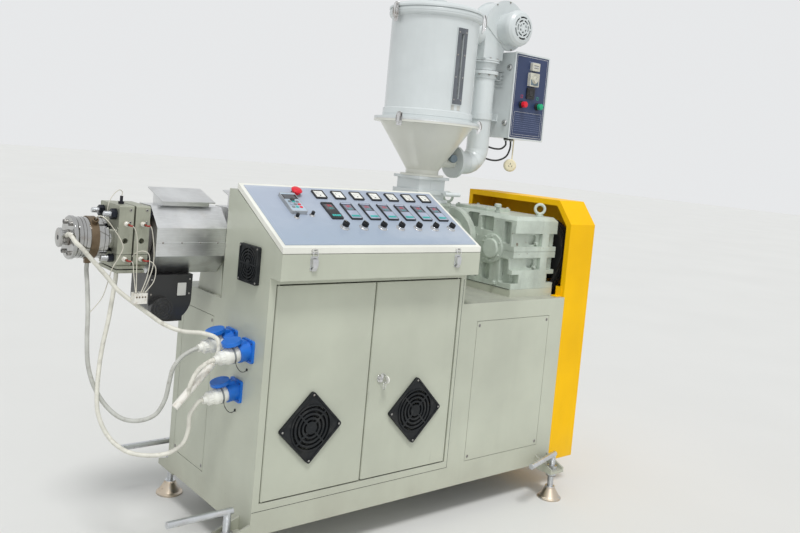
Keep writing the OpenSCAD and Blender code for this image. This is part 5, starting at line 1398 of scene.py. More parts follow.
@dataclass
class DieArea(Group):
    """Heater wires, terminals, probes and fastenings between the die and the first barrel zone."""

    axis: Pair = (425.0, 1035.0)
    block_front: float = 340.0
    block_mids: Pair = (-340.0, -286.0)
    terminal_end: float = 318.0
    terminal_rows: Pair = (1090.0, 977.0)
    ring_face: float = -492.0
    stud_face: float = -381.0
    wire: float = 3.0
    joint_block: Spot = (-301.0, 288.7, 877.0)
    plate_at: Spot = (-132.7, 343.0, 872.0)
    fan_middle: Pair = (-205.2, 811.9)
    ring_front: float = 322.2
    spoke_front: float = 321.6
    mouth_face: float = -521.05
    groove_faces: tuple[float, ...] = (-462.0, -452.0, -396.0)
    bolt_circle: float = 54.0
    shield_seam: Pair = (310.0, 1033.0)
    seam_screws: tuple[float, ...] = (-225.0, -160.0, -95.0, -30.0)
    blower_face: float = 345.0
    blower_screws: tuple[Pair, ...] = ((-238.0, -104.0), (856.0, 905.0))
    studs_across: Pair = (-55.0, 55.0)
    studs_high: Pair = (83.0, -58.0)

    def heater_wires(self) -> list[Route]:
        """Routes of the four heater leads, from their porcelain terminals down to the joint block."""
        return [[[-340, 318, 1090], [-338, 308, 1088], [-328, 305, 1084], [-317, 307, 1062],
                 [-311, 309, 1025], [-308, 311, 971], [-309, 301, 912], [-310, 293, 877]],
                [[-286, 318, 1090], [-283, 308, 1088], [-270, 305, 1083], [-260, 307, 1042], [-254, 307, 993],
                 [-258, 303, 950], [-273, 299, 905], [-288, 293, 877]],
                [[-340, 318, 977], [-337, 309, 975], [-324, 305, 970], [-317, 305, 929], [-314, 297, 895],
                 [-316, 283, 877]],
                [[-286, 318, 977], [-283, 308, 975], [-262, 304, 972], [-246, 304, 950], [-250, 302, 911],
                 [-272, 290, 888], [-286, 283, 877]]]

    def probe_wires(self) -> dict[str, Route]:
        """Routes of the band heater's lead, the melt probe's lead and the thermocouple's loop."""
        return {
            "wire_band": [[-426, 371, 1100], [-426, 363, 1108], [-420, 350, 1113], [-404, 334, 1102],
                          [-382, 326, 1073], [-360, 322, 1040], [-352, 321, 1015], [-364, 321, 985],
                          [-381, 324, 950], [-388, 334, 905], [-396, 350, 855], [-412, 370, 818],
                          [-423, 378, 801]],
            "wire_probe": [[-336, 405, 1175], [-334, 406, 1186], [-345, 404, 1193], [-362, 400, 1181],
                           [-376, 397, 1159], [-382, 396, 1130], [-372, 405, 1091]],
            "wire_loop": [[-313, 340, 985], [-311, 320, 998], [-296, 304, 1008], [-276, 300, 1000],
                          [-271, 298, 968], [-279, 292, 925], [-296, 289, 877]]}

    def wires(self) -> None:
        """Lays the thin leads and slips a red sleeve over each heater lead's start."""
        for index, route in enumerate(self.heater_wires(), 1):
            head = smooth_path(route, 6)[1:11]
            sleeve = self.shop.piece(f"sleeve_{index}", [tube(head, 2.7)], self.look.wire_red, "cordwhite")
            self.shop.cord(f"wire_{index}", route, self.wire, self.look.wire_white, "cordwhite", sides=10,
                           stiffness=Stiffness.STIFF, with_pieces=[sleeve.name])
        for name, route in self.probe_wires().items():
            self.shop.cord(name, route, self.wire, self.look.wire_white, "cordwhite", sides=10,
                           stiffness=Stiffness.STIFF)

    def terminals(self) -> None:
        """Brass screws and washers on the porcelain terminals, and the joint block's screws; painted shade:
        dark slots in the terminal screws and dark holes on the joint block's top.
        """
        washer = lathe([(5.2, 0), (5.2, 1.0), (4.8, 1.3)], sides=20)
        # slot and well are painted shade: a dark screw slot and a dark hole.
        slot, well = slab(5.6, 0.8, 0.3, 0.2, up=2.4), slab(5.4, 5.4, 0.5, 2.6)
        ends = [(x, self.terminal_end, z) for x in self.block_mids for z in self.terminal_rows]
        brass = fitted((washer, *pan_head(3.4, 2.6)), FRONT, ends)
        shade_marks = fitted((slot,), FRONT, ends)
        x0, y0, z0 = self.joint_block
        poles = (-14, -5, 5, 14)
        shade_marks += fitted((well,), UPWARD, [(x0 + dx, y0 + dy, z0) for dx in poles for dy in (4, -6)])
        brass += fitted(pan_head(2.8, 1.6), FRONT, [(x0 + dx, y0 - 15.0, z0 - 12) for dx in poles])
        self.put("terminal_screws", brass, self.look.brass, "brass")
        self.put("terminal_hole_shade", shade_marks, self.look.black, "blackmetal")

    def nozzle(self) -> None:
        """Painted shade: a dark disc in the nozzle's bore; the nozzle's collar, and the grooves turned in the
        die head.
        """
        y, z = self.axis
        # Painted shade: a dark disc across the bore's mouth.
        bore_shade = lathe([(8.6, 0), (8.6, 0.6), (7.4, 0.9)], (self.mouth_face, y, z), (-1, 0, 0), 28)
        self.put("nozzle_bore_shade", [bore_shade], self.look.black, "blackmetal")
        collar = hoop(23.0, 6.0, 2.2, (self.ring_face - 3.2, y, z), (1, 0, 0), 48)
        self.put("nozzle_collar", [collar], self.look.bolt, "chrome")
        grooves = [hoop(66.0, 1.6, 0.3, (x, y, z), (1, 0, 0)) for x in self.groove_faces]
        self.put("die_grooves", grooves, self.look.blued, "blued")

    def screws(self) -> None:
        """Painted shade in the ring's cap screws, a dark hexagon for each socket; and the block's small
        fixing screws, with a dark square of painted shade over each recess.
        """
        y, z = self.axis
        shade_marks, heads = [], []
        for turn in np.radians(np.arange(30, 360, 60)):
            spot = (y - self.bolt_circle * math.sin(turn), z + self.bolt_circle * math.cos(turn))
            # Painted shade: a dark hexagon stands for the cap screw's socket.
            shade_marks.append(lathe([(3.9, 0), (3.9, 0.5)], (self.ring_face - 8.1, *spot), (-1, 0, 0), 6))
            heads.append(lathe([(7.25, 0), (7.25, 6.9), (6.2, 8.1), (4.2, 8.1)], (self.ring_face, *spot),
                               (-1, 0, 0), 24))
        spots = [(x + 12, self.block_front, z + dz) for x in self.block_mids for dz in (-62, 60, 100)]
        heads += fitted(socket_head(4.5, 3.5), FRONT, spots)
        # Painted shade: a dark square over each socket head's recess.
        shade_marks += fitted((slab(4.2, 4.2, 0.4, 2.0, up=3.2),), FRONT, spots)
        self.put("ring_screws", heads, self.look.bolt, "blued")
        self.put("screw_socket_shade", shade_marks, self.look.black, "blackmetal")

    def stud_ends(self) -> None:
        """Zinc-plated thread on the ends of the four clamp studs."""
        crests = [(8.9 if turn % 2 else 8.2, float(turn)) for turn in range(22)]
        y, z = self.axis
        ends = [lathe([*crests, (7.6, 22.6)], (self.stud_face, y + dy, z + dz), (-1, 0, 0), 24)
                for dy in self.studs_across for dz in self.studs_high]
        self.put("stud_threads", ends, self.look.zinc, "zinc")

    def blower(self) -> None:
        """Blank plate, guard rings and screws of the cooling blower, and the heat shield's seam screws."""
        self.put("blower_plate", [moved(slab(31, 43, 0.8, 2.0), FRONT, self.plate_at)],
                 self.look.label, "blackmetal")
        x, z = self.fan_middle
        circle = ring_angles(40)
        hoops = []
        for radius in (12.0, 22.0, 32.0):
            path = np.column_stack([x + radius * np.cos(circle), np.full(40, self.ring_front),
                                    z + radius * np.sin(circle)])
            hoops.append(tube(np.vstack([path, path[:1]]), 1.3, 8))
        middle = np.array([x, self.spoke_front, z])
        for angle in (45, 135):
            reach = np.array([math.cos(math.radians(angle)), 0, math.sin(math.radians(angle))]) * 36
            hoops.append(tube(np.array([middle - reach, middle, middle + reach]), 1.3, 8))
        self.put("blower_guard", hoops, self.look.black_paint, "blackmetal")
        heads = fitted(pan_head(3.2, 1.8), FRONT, [(x, *self.shield_seam) for x in self.seam_screws])
        across, high = self.blower_screws
        heads += fitted(pan_head(3.4, 2), FRONT, [(x, self.blower_face, z) for x in across for z in high])
        self.put("shield_screws", heads, self.look.bolt, "steel")

    def build(self) -> None:
        """Makes every piece of the die area."""
        self.wires()
        self.terminals()
        self.nozzle()
        self.screws()
        self.stud_ends()
        self.blower()


@dataclass
class Sockets(Group):
    """Flange screws, plug rings, ribbed nuts and lid tethers of the three power sockets."""

    places: tuple[Pair, ...] = ((212.0, 722.0), (97.0, 712.0), (153.0, 566.0))
    tilt: float = 10.0
    flange: float = 8.0
    inset: float = 28.0
    ring_reach: float = 58.0
    tether: float = 2.4
    anchors: tuple[Pair, ...] = ((99.0, 647.0), (155.0, 496.0))
    lids: tuple[Pair, ...] = ((72.0, 700.0), (128.0, 552.0))
    lid_reach: float = -60.0

    def on_tilt(self, y: float, z: float, shells: Sequence[Shell], reach: float) -> list[Shell]:
        """Shells whose local Z runs out along a tilted plug.

        Args:
            y: the plug's place along Y.
            z: its height at the cabinet's end.
            shells: shells in the plug's own axes.
            reach: their distance from the cabinet's end, along the plug.

        Returns:
            The shells in machine millimetres.
        """
        turn = math.radians(self.tilt)
        out = np.array([-math.cos(turn), 0, -math.sin(turn)])
        return [moved(shell, facing(out), np.array([0, y, z]) + out * reach) for shell in shells]

    def build(self) -> None:
        """Makes the small pieces of every socket."""
        heads, rings, ribs = [], [], []
        ring = lathe([(27.4, 0), (28.6, 1), (28.6, 5), (27.4, 6)], sides=40)
        turn = ring_angles(48)
        radius = 21.6 + 0.7 * np.cos(turn * 16)
        nut = grid_shell(np.array([np.column_stack([radius * np.cos(turn), radius * np.sin(turn),
                                                    np.full(48, high)]) for high in (91.0, 107.0)]))
        for y, z in self.places:
            heads += fitted(pan_head(3.6, 2.2), LEFT, [(-self.flange, y + dy, z + dz)
                                                       for dy in (-self.inset, self.inset)
                                                       for dz in (-self.inset, self.inset)])
            rings += self.on_tilt(y, z, [ring], self.ring_reach)
            ribs += self.on_tilt(y, z, [nut], 0)
        self.put("socket_screws", heads, self.look.dark_blue, "blueplastic")
        self.put("plug_rings", rings, self.look.grey_plastic, "whiteplastic")
        self.put("plug_nuts", ribs, self.look.white_plastic, "whiteplastic")
        for index, (lid, anchor) in enumerate(zip(self.lids, self.anchors), 1):
            a, b = np.array([self.lid_reach, *lid]), np.array([0.0, *anchor])
            route = [a, a + [2, -4, -24], (a + b) / 2 + [-6, -6, -22], b + [-10, 0, -6], b]
            self.shop.cord(f"tether_{index}", [point.tolist() for point in route], self.tether,
                           self.look.cable_black, "cordblack", sides=8, stiffness=Stiffness.LIMP)
        anchors = fitted(pan_head(5.0, 3.0), LEFT, [(0, *anchor) for anchor in self.anchors])
        self.put("tether_anchors", anchors, self.look.black, "blackmetal")


@dataclass
class Dryer(Group):
    """The hopper dryer: window frame, flange joints, clamps, blower cap and elbow plug."""

    centre: Pair = (957.0, 425.0)
    window_turn: float = -94.0
    window_low: float = 1606.0
    window_high: float = 1915.0
    window_reach: float = 188.0
    joint: float = 1530.0
    flange: float = 223.0
    shell: float = 184.0
    top: float = 1985.0
    duct: Pair = (1246.0, 400.0)
    fan: Spot = (1317.0, 260.0, 1976.0)
    duct_flanges: Pair = (1784.0, 1826.0)
    duct_faces: Pair = (1834.0, 1768.0)
    duct_circle: float = 55.5
    lower_clamps: tuple[float, ...] = (-160.0, -30.0, 90.0)
    upper_clamps: tuple[float, ...] = (175.0, -35.0, 70.0)
    scroll: Pair = (88.5, 130.5)
    scroll_sweep: float = 270.0
    scroll_face: float = 352.0
    motor_circle: float = 72.0
    elbow_up: float = 1446.0
    elbow_radius: float = 72.0
    stub_at: Spot = (1070.0, 377.0, 1386.0)
    stub_along: Spot = (-0.25, -1.0, 0.05)

    def at_window(self, shells: Sequence[Shell], height: float, reach: float) -> list[Shell]:
        """Shells set on the hopper at the window's side.

        Args:
            shells: shells whose local Z points away from the hopper.
            height: their height.
            reach: their distance from the hopper's axis.

        Returns:
            The shells in machine millimetres.
        """
        turn = math.radians(self.window_turn)
        out = np.array([math.cos(turn), math.sin(turn), 0])
        spot = np.array([*self.centre, height]) + out * reach
        return [moved(shell, facing(out), spot) for shell in shells]

    def window(self) -> None:
        """Dark frame plate with its screws, and the bare plate below it."""
        middle, tall = (self.window_low + self.window_high) / 2, self.window_high - self.window_low
        frame_plate = rim((48, tall - 4), (16.4, tall - 48), 2.2, 1.5)
        self.put("window_frame", self.at_window([frame_plate], middle, self.window_reach),
                 self.look.frame, "blackmetal")
        heads = fitted(pan_head(3.4, 2.2), UPWARD, [(side * 17.5, share * (tall - 30) / 2, 2.2)
                                                    for side in (-1, 1)
                                                    for share in (-0.97, -0.32, 0.32, 0.97)])
        self.put("window_screws", self.at_window(heads, middle, self.window_reach), self.look.bolt, "steel")
        bare = bent(slab(46, 20, 1.2, 1.0), self.shell)
        self.put("window_plate", self.at_window([bare], self.window_low - 13, 0), self.look.label, "steel")

    def joints(self) -> None:
        """Gasket of the hopper's flange, weld beads of its shell, seals and bolts of the duct."""
        x, y = self.centre
        gasket = hoop(self.flange, 2.8, 0.3, (x, y, self.joint), sides=96)
        self.put("flange_gasket", [gasket], self.look.steel, "steel")
        beads = [hoop(self.shell + high, 3.2, 1.0, (x, y, z), sides=96)
                 for high, z in ((6, self.joint + 24), (12, self.top - 14))]
        self.put("hopper_beads", beads, self.look.white, "white")
        x, y = self.duct
        seals = [hoop(62.0, 1.2, 0.3, (x, y, z), sides=64) for z in self.duct_flanges]
        self.put("duct_seals", seals, self.look.black, "blackmetal")
        ring = np.radians(np.arange(22.5, 360, 45))
        heads = []
        for z, rotation in zip(self.duct_faces, (UPWARD, np.diag([1, -1, -1]))):
            spots = [(x + self.duct_circle * math.cos(turn), y + self.duct_circle * math.sin(turn), z)
                     for turn in ring]
            heads += fitted(hex_head(8, 4, 6), rotation, spots)
        self.shop.piece("duct_bolts", heads, self.look.bolt, "steel", fix_normals=True)

    def clamps(self) -> None:
        """Wire bails, rivets and pivot pins of the toggle clamps."""
        bails, pins = [], []
        lower = [(a, self.flange + 0.3, self.joint - 28, 52) for a in self.lower_clamps]
        upper = [(a, self.shell + 14.3, self.top - 62, 76) for a in self.upper_clamps]
        for degrees, reach, foot, high in lower + upper:
            turn = math.radians(degrees)
            out = np.array([math.cos(turn), math.sin(turn), 0])
            matrix, spot = facing(out), np.array([*self.centre, foot]) + out * reach
            loop = np.array([[-8, high * 0.30, 13], [-8.5, high * 0.62, 15.5], [-8, high * 0.96, 9],
                             [0, high * 1.03, 6], [8, high * 0.96, 9], [8.5, high * 0.62, 15.5],
                             [8, high * 0.30, 13]])
            bails.append(moved(tube(smooth_path(loop, 5), 1.5, 8), matrix, spot))
            pins += fitted(pan_head(3.2, 1.8), matrix,
                           [spot + matrix @ np.array([0, high * share, 4.0]) for share in (0.07, 0.93)])
            pivot = lathe([(2.6, -10.5), (2.6, 10.5)], (0, high * 0.3, 12), (1, 0, 0), 16)
            pins.append(moved(pivot, matrix, spot))
        self.put("clamp_bails", bails, self.look.bolt, "chrome")
        self.put("clamp_pins", pins, self.look.chrome, "chrome")

    def blower(self) -> None:
        """Painted shade: dark rings behind the cap's slots; and the bolts of the scroll and the motor."""
        x, y, z = self.fan
        # Painted shade: dark rings show through the cap's slots.
        shade_marks = [lathe([(r + 3.2, 0), (r + 3.2, 0.6), (r - 3.2, 0.6), (r - 3.2, 0)], (x, y + 8.6, z),
                       (0, -1, 0), 64, True) for r in (46.0, 32.0, 18.0)]
        self.put("blower_slot_shade", shade_marks, self.look.black, "blackmetal")
        bolts = []
        start, end = self.scroll
        for turn in np.radians(np.arange(20, 240, 40)):
            reach = start + (end - start) * math.degrees(turn) / self.scroll_sweep
            spot = (x + reach * math.sin(turn), self.scroll_face, z - reach * math.cos(turn))
            bolts += fitted(hex_head(7, 3.6), FRONT, [spot])
        for turn in np.radians((45, 135, 225, 315)):
            spot = (x + self.motor_circle * math.cos(turn), y + 29.4, z + self.motor_circle * math.sin(turn))
            bolts += fitted(pan_head(3.6, 2.2), FRONT, [spot])
        self.put("blower_bolts", bolts, self.look.bolt, "steel")

    def elbow(self) -> None:
        """Blue-grey plug on the spigot's stub, and the elbow's mitre beads."""
        stub = lathe([(13.5, 0), (13.5, 20), (17.5, 20.5), (17.5, 29), (16.0, 31), (6, 31.6)],
                     self.stub_at, self.stub_along, 36)
        self.put("elbow_plug", [stub], self.look.plug, "white")
        x, y = self.duct
        beads = []
        for share in (0.0, 1 / 3, 2 / 3, 1.0):
            turn = share * math.pi / 2
            spot = np.array([x - self.elbow_radius + self.elbow_radius * math.cos(turn), y,
                             self.elbow_up - self.elbow_radius * math.sin(turn)])
            along = np.array([-math.sin(turn), 0, -math.cos(turn)])
            beads.append(hoop(49.0, 2.4, 0.8, spot, along, 56))
        self.put("elbow_beads", beads, self.look.white, "white")

    def build(self) -> None:
        """Makes every piece of the dryer's shell."""
        self.window()
        self.joints()
        self.clamps()
        self.blower()
        self.elbow()


@dataclass
class ControlBox(Group):
    """The dryer's control box: navy plate, counter, timer, switch, buttons, locks and hanging socket."""

    left: float = 1333.0
    front: float = 302.0
    low: float = 1500.0
    size: Pair = (221.0, 377.0)
    counter: Pair = (0.55, 0.14)
    timer: Pair = (0.53, 0.29)
    switch: Pair = (0.50, 0.45)
    buttons_down: float = 0.59
    lock_inset: float = 66.0
    lock_back: float = 332.0
    louvres: Pair = (400.0, 1791.0)
    louvre_step: float = 15.6
    glands: Pair = (48.0, 80.0)
    gland_back: float = 360.0
    socket_at: Spot = (1405.0, 346.0, 1380.0)
    socket_turn: float = 37.0

    def on_face(self, shells: Sequence[Shell], across: float, down: float, high: float = 0.0) -> list[Shell]:
        """Shells set on the box's face.

        Args:
            shells: shells whose local Z points out of the face.
            across: share of its width, from its left.
            down: share of its height, from its top.
            high: distance in front of the face.

        Returns:
            The shells in machine millimetres.
        """
        x = self.left - 3 + across * (self.size[0] + 6)
        z = self.low + self.size[1] + 3 - down * (self.size[1] + 6)
        return fitted(shells, FRONT, [(x, self.front - high, z)])

    def plate(self) -> None:
        """Navy face plate with its white line, ruled block and heading strip."""
        wide, tall = self.size[0] - 9, self.size[1] - 9
        self.put("box_plate", self.on_face([slab(wide, tall, 0.8, 3)], 0.5, 0.5), self.look.navy)
        lines = [rim((wide - 12, tall - 12), (wide - 14.6, tall - 14.6), 0.2, 3, 0.04)]
        lines += fitted([rim((wide - 34, 100), (wide - 35.6, 98.4), 0.2, 2, 0.04)], UPWARD, [(0, -118, 0)])
        self.put("box_lines", self.on_face(lines, 0.5, 0.5, 0.8), self.look.dial)
        rules = [slab(wide - 48, 1.0, 0.15, 0.3, (0, -80 - 9 * k), 0.03) for k in range(9)]
        rules.append(slab(64, 2.6, 0.15, 0.4, (10, 158), 0.03))
        self.put("box_rules", self.on_face(rules, 0.5, 0.5, 0.8), self.look.rule)

    def controls(self) -> None:
        """Housings and faces of the counter, the timer and the switch."""
        pale = self.on_face([rim((49.5, 35.5), (34, 13), 15.0, 2.0)], *self.counter)
        pale += self.on_face([rim((59.5, 59.5), (50, 50), 17.2, 3.0)], *self.timer)
        digits = [slab(4.2, 9, 0.4, 0.6, (k * 6.6, 0), 0.1) for k in (-2, -1, 0, 1, 2)]
        face, low = slab(49, 25, 1.0, 1, (0, 12.4)), slab(49, 24, 1.0, 1, (0, -12.4))
        knob = lathe([(18, 0), (18, 1.6), (14.6, 2.2), (13.6, 8), (12.6, 9)], sides=40)
        ticks = [moved(slab(0.8, 3, 0.3, 0.1, (0, 20.5), 0.05), spin(turn), (0, 0, 1.1))
                 for turn in range(-120, 121, 24)]
        ticks.append(slab(1.4, 10, 0.5, 0.3, (0, 6), 0.1, 9.0))
        rocker = [rim((40, 40), (30, 30), 1.6, 2.0, up=8), slab(26, 26, 3.2, 2.0, up=8, bevel=1.2)]
        for name, shells, finish in (
                ("control_bezels", pale, self.look.ivory),
                ("counter_digits", self.on_face(digits, *self.counter, 14.0), self.look.dial),
                ("timer_face", self.on_face([face], *self.timer, 16.0), self.look.ivory),
                ("timer_base", self.on_face([low], *self.timer, 16.0), self.look.plug),
                ("timer_knob", self.on_face([knob], *self.timer, 17.0), self.look.ivory),
                ("timer_ticks", self.on_face(ticks, *self.timer, 16.6), self.look.black),
                ("main_switch", self.on_face(rocker, *self.switch), self.look.gloss_black)):
            self.put(name, shells, finish)

    def buttons(self) -> None:
        """Red and green button caps on bright collars, with small square marks above them."""
        cap = lathe([(13.4, 14), (13.4, 28), (12.6, 30), (9, 31), (3, 31.2)], sides=36)
        collar = lathe([(16.4, 0), (16.4, 4), (15.2, 6.4), (13.6, 8), (13.6, 14)], sides=36)
        mark = moved(rim((13, 13), (10, 10), 0.2, 2, 0.04), UPWARD, (0, 36, 0.8))
        for name, across, finish in (("stop", 0.28, self.look.red), ("start", 0.74, self.look.green)):
            self.put(f"{name}_cap", self.on_face([cap, mark], across, self.buttons_down), finish)
            self.put(f"{name}_collar", self.on_face([collar], across, self.buttons_down), self.look.black)

    def sides(self) -> None:
        """Quarter-turn locks, louvres, gland nuts and the socket's rim; painted shade: dark slots in the
        locks and the socket's contact slots.
        """
        side, high = self.left - 5, self.low + self.size[1]
        spots = [(side, self.lock_back, z) for z in (self.low + self.lock_inset, high - self.lock_inset)]
        head = lathe([(12.2, 0), (12.2, 1.6), (10.6, 3.4), (6, 3.8)], sides=30)
        collar = lathe([(14.4, -4.6), (14.4, -3.4)], sides=30)
        # Painted shade: a dark slot on each lock's head.
        slots = fitted([slab(13, 2.2, 0.4, 0.4, up=3.7)], LEFT @ spin(35), spots)
        self.put("box_locks", fitted([head, collar], LEFT, spots), self.look.chrome, "chrome")
        y, z = self.louvres
        louvres = fitted([slab(42, 4.4, 2.6, 2.0, bevel=1.6)], LEFT,
                         [(side, y, z - self.louvre_step * k) for k in range(5)])
        self.put("box_louvres", louvres, self.look.white, "white")
        nuts = [lathe([(10.4, -7.4), (11.6, -6.2), (11.6, 0)], (self.left + dx, self.gland_back, self.low),
                      sides=6) for dx in self.glands]
        self.put("box_glands", nuts, self.look.black, "blackmetal")
        turn = math.radians(self.socket_turn)
        out = np.array([-math.sin(turn), -math.cos(turn), 0])
        face = np.array(self.socket_at) + out * 24
        ring = lathe([(21.5, 0), (21.5, 0.8), (20, 1.0)], sides=40)
        self.put("socket_rim", [moved(ring, facing(out), face)], self.look.socket_cream, "whiteplastic")
        # Painted shade: the socket's contact slots are dark marks on its face.
        for x, y, degrees in ((0, 8, 0), (-6.6, -3.4, 32), (6.6, -3.4, -32)):
            slot = moved(slab(2.2, 7.4, 0.4, 0.6), spin(degrees), (x, y, 0.9))
            slots.append(moved(slot, facing(out), face))
        self.put("painted_slot_shade", slots, self.look.black, "blackmetal")

    def build(self) -> None:
        """Makes every piece of the control box."""
        self.plate()
        self.controls()
        self.buttons()
        self.sides()


@dataclass
class BaseAndDrive(Group):
    """Fastenings, painted shade lines, weld beads and key of the base, the doors and the gearbox."""

    grille_high: float = 460.0
    grille_mids: Pair = (197.0, 652.0)
    grille_side: float = 176.0
    end_grille: Pair = (129.0, 991.0)
    end_side: float = 124.0
    grille_thick: float = 12.0
    guard_rings: tuple[float, ...] = (28.0, 41.4, 55.4, 69.8)
    lock: Spot = (490.0, -28.0, 596.0)
    gear: Spot = (1178.0, 62.0, 873.0)
    gear_size: Pair = (262.0, 550.0)
    cover: Spot = (1168.0, 245.0, 1029.0)
    cover_circle: float = 51.0
    feet: tuple[Pair, ...] = ((-62.0, 40.0), (1410.0, -62.0), (45.0, 692.0), (1411.0, 692.0))
    jack_tops: tuple[float, ...] = (210.0, 185.0, 210.0, 210.0)
    # seam: corner of the painted shade line along the fold of the cabinet's front.
    seam: Pair = (850.0, 206.0)
    fold_shade_top: float = 938.0
    front_screws: Pair = (957.0, 1353.0)
    side_screws: Pair = (364.0, 578.0)
    screw_heights: Pair = (232.0, 753.0)
    front_welds: Pair = (1377.0, 1445.0)
    side_welds: Pair = (7.0, 73.0)
    weld_span: Pair = (128.0, 164.0)
    weld_out: float = 1.5

    def grilles(self) -> None:
        """Corner screws of the three fan grilles, and thin rings in the doors' grilles."""
        reach = (self.grille_side / 2 - 9) * math.sqrt(2)
        corners = ((reach, 0), (-reach, 0), (0, reach), (0, -reach))
        for name, x, body in zip(("left", "right"), self.grille_mids, (Body.LEFT_DOOR, Body.RIGHT_DOOR)):
            heads = fitted(pan_head(3.8, 1.8), FRONT, [(x + dx, -self.grille_thick, self.grille_high + dz)
                                                       for dx, dz in corners])
            self.put(f"{name}_grille_screws", heads, self.look.bolt, "black", body)
            rings = [hoop(radius, 1.3, 0.65, (x, 5.5 - self.grille_thick, self.grille_high), (0, 1, 0), 64)
                     for radius in self.guard_rings]
            self.put(f"{name}_grille_rings", rings, self.look.black, "black", body)
        offset = self.end_side / 2 - 7
        y, z = self.end_grille
        heads = fitted(pan_head(3.4, 1.6), LEFT, [(-self.grille_thick, y + dy, z + dz)
                                                  for dy in (-offset, offset) for dz in (-offset, offset)])
        self.put("end_grille_screws", heads, self.look.bolt, "black")

    def key(self) -> None:
        """White head on the cabinet key and the lock's rosette."""
        x, y, z = self.lock
        head = lathe([(12.6, -2.4), (13.2, -1.6), (13.2, 1.6), (12.6, 2.4)], (x, y, z), (1, 0, 0), 36)
        self.put("key_head", [head], self.look.white_plastic, "whiteplastic", Body.RIGHT_DOOR)
        rosette = hoop(15.0, 2.2, 1.0, (x, -2.0, z), (0, 1, 0), 40)
        self.put("lock_rosette", [rosette], self.look.chrome, "chrome", Body.RIGHT_DOOR)

    def panels(self) -> None:
        """Small countersunk screws at the corners of the removable panels, with painted shade in their slots.
        """
        head = lathe([(6.4, 0), (6.4, 0.5), (5.6, 0.9)], sides=28)
        heads, slots = [], []
        for turn, spots in ((FRONT, [(x, 0.0, z) for x in self.front_screws for z in self.screw_heights]),
                            (LEFT, [(0.0, y, z) for y in self.side_screws for z in self.screw_heights])):
            heads += fitted([head], turn, spots)
            # Painted shade: a dark bar stands for each screw's slot.
            slots += [moved(slab(10, 2.4, 0.3, 0.6, up=0.85), turn @ spin(70 + 12 * k), spot)
                      for k, spot in enumerate(spots)]
        self.put("panel_screws", heads, self.look.bolt, "beige")
        self.put("panel_slot_shade", slots, self.look.black, "blackmetal")

    def painted_shade_lines(self) -> None:
        """Painted shade: a black line along the fold of the cabinet's front, along the plinth, then up beside
        the right door.
        """
        x, z = self.seam
        lines = np.array([[[1.5, 0.1, z], [x, 0.1, z]], [[x, 0.1, z], [x, 0.1, self.fold_shade_top]]])
        self.put("cabinet_fold_shade", [tube(line, 0.8, 6) for line in lines], self.look.black, "blackmetal")

    def feet_details(self) -> None:
        """Weld beads of the foot brackets, lock washers of the jacks and thread crests on the screws."""
        washers, crests = [], []
        for (x, y), top in zip(self.feet, self.jack_tops):
            washers += [hoop(20.6, 2.2, 1.0, (x, y, z), sides=32) for z in (140.8, 97.2)]
            crests += [hoop(12.0, 1.1, 0.55, (x, y, z), sides=24)
                       for z in np.concatenate([np.arange(56, 96, 3.2), np.arange(144, top - 12, 3.2)])]
        self.put("jack_washers", washers, self.look.bolt, "zinc")
        self.put("jack_threads", crests, self.look.zinc, "zinc")
        beads = []
        ripple, heights = 0.5 * np.sin(np.arange(14) * 2.1), np.linspace(*self.weld_span, 14)
        out = np.full(14, -self.weld_out)
        for x in self.front_welds:
            beads.append(tube(np.column_stack([x + ripple, out, heights]), 2.4, 8))
        for y in self.side_welds:
            beads.append(tube(np.column_stack([out, y + ripple, heights]), 2.4, 8))
        self.put("weld_beads", beads, self.look.beige, "beige")

    def gearbox(self) -> None:
        """Bolts of the case, the cover and the feet, the drain plug, and painted shade: black lines along the
        gap between the case and the plate.
        """
        x0, y0, z0 = self.gear
        wide, deep = self.gear_size
        x, y, z = self.cover
        ring = [(x, y - self.cover_circle * math.sin(turn), z + self.cover_circle * math.cos(turn))
                for turn in np.radians(np.arange(30, 390, 60))]
        bolts = fitted(socket_head(5.4, 5.0), LEFT, ring)
        bolts += fitted(hex_head(13, 7, 10), FRONT, [(x0 + 148, y0 + 18, z0 + dz) for dz in (90, 190)])
        bolts += fitted(hex_head(17, 9, 13), LEFT, [(x0, y0 + dy, z0 + 14) for dy in (92, 300, 420)])
        self.put("gearbox_bolts", bolts, self.look.cast, "cast")
        plug = fitted(hex_head(19, 8, 14), LEFT, [(x0, y0 + 236, z0 + 40)])
        self.put("drain_plug", plug, self.look.bolt, "zinc")
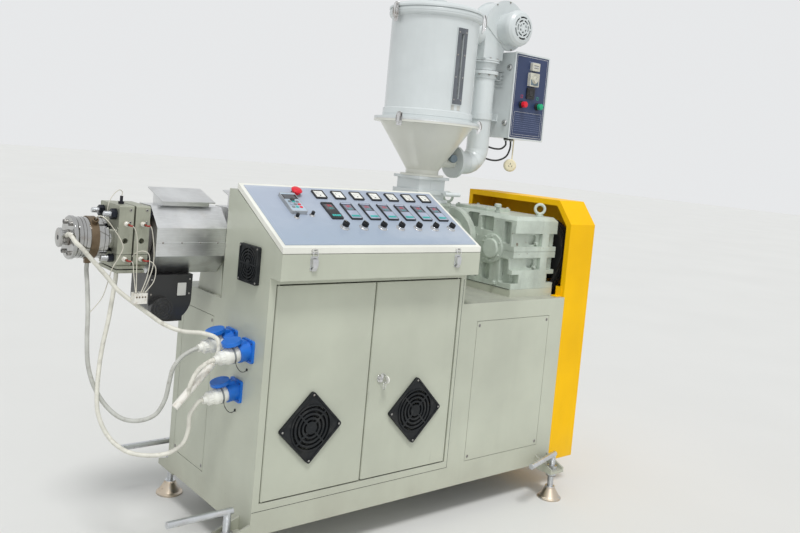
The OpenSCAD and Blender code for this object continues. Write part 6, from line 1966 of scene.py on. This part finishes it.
        # Painted shade: black lines along the gap where the case stands on the plate.
        along = np.linspace(y0 + 6, y0 + deep - 6, 24)
        painted_shade_lines = [np.column_stack([np.full(24, x0 + dx), along, np.full(24, z0 + 0.4)])
                 for dx in (-0.4, wide + 0.4)]
        self.put("gearbox_gap_shade", [tube(line, 1.1, 6) for line in painted_shade_lines], self.look.black, "rubber")

    def build(self) -> None:
        """Makes every piece of the base and the drive."""
        self.grilles()
        self.key()
        self.panels()
        self.feet_details()
        self.gearbox()
        self.painted_shade_lines()


def dress_frame(look: Finishes) -> None:
    """Gives every solid of the frame its finish.

    Args:
        look: the machine's finishes.
    """
    for finish, nodes in (
            (look.beige, "base_frame base_panels foot_brackets cabinet_body left_door right_door"
                         " barrel_supports"),
            (look.zinc, "levelling_jacks"),
            (look.galvanised, "mounting_plate lid_latches"),
            (look.black, "left_door_grille right_door_grille end_grille selector_knobs"),
            (look.gloss_black, "panel_instruments dryer_controls"),
            (look.chrome, "door_lock dryer_clamps"),
            (look.die_steel, "die_head"),
            (look.cream, "console_lid"),
            (look.fascia, "fascia_panel"),
            (look.red, "stop_button"),
            (look.blue, "power_sockets"),
            (look.white_plastic, "power_plugs"),
            (look.blued, "barrel"),
            (look.oxide, "clamp_bolts"),
            (look.steel, "heat_shields"),
            (look.block, "heater_blocks"),
            (look.porcelain, "heater_terminals cable_joints"),
            (look.black_paint, "cooling_blower drive_pulleys"),
            (look.brass, "die_band"),
            (look.cast, "feed_throat gearbox_housing gearbox_covers"),
            (look.rubber, "drive_belts"),
            (look.yellow, "belt_guard"),
            (look.white, "dryer_body dryer_lid dryer_gate dryer_blower air_duct control_box"),
            (look.cone, "dryer_cone"),
            (look.pane, "sight_glass"),
            (look.socket_cream, "hanging_socket")):
        dress(nodes.split(), finish)


def main() -> None:
    """Builds the stage, dresses the frame and adds every piece."""
    logging.basicConfig(level=logging.INFO, format="%(message)s")
    Studio().build()
    look, shop = Finishes(), Workshop()
    dress_frame(look)
    for part in (Cables, Console, DieArea, Sockets, Dryer, ControlBox, BaseAndDrive):
        part(shop, look).build()
    LOG.info("%d pieces", shop.count)


if __name__ == "__main__":
    main()
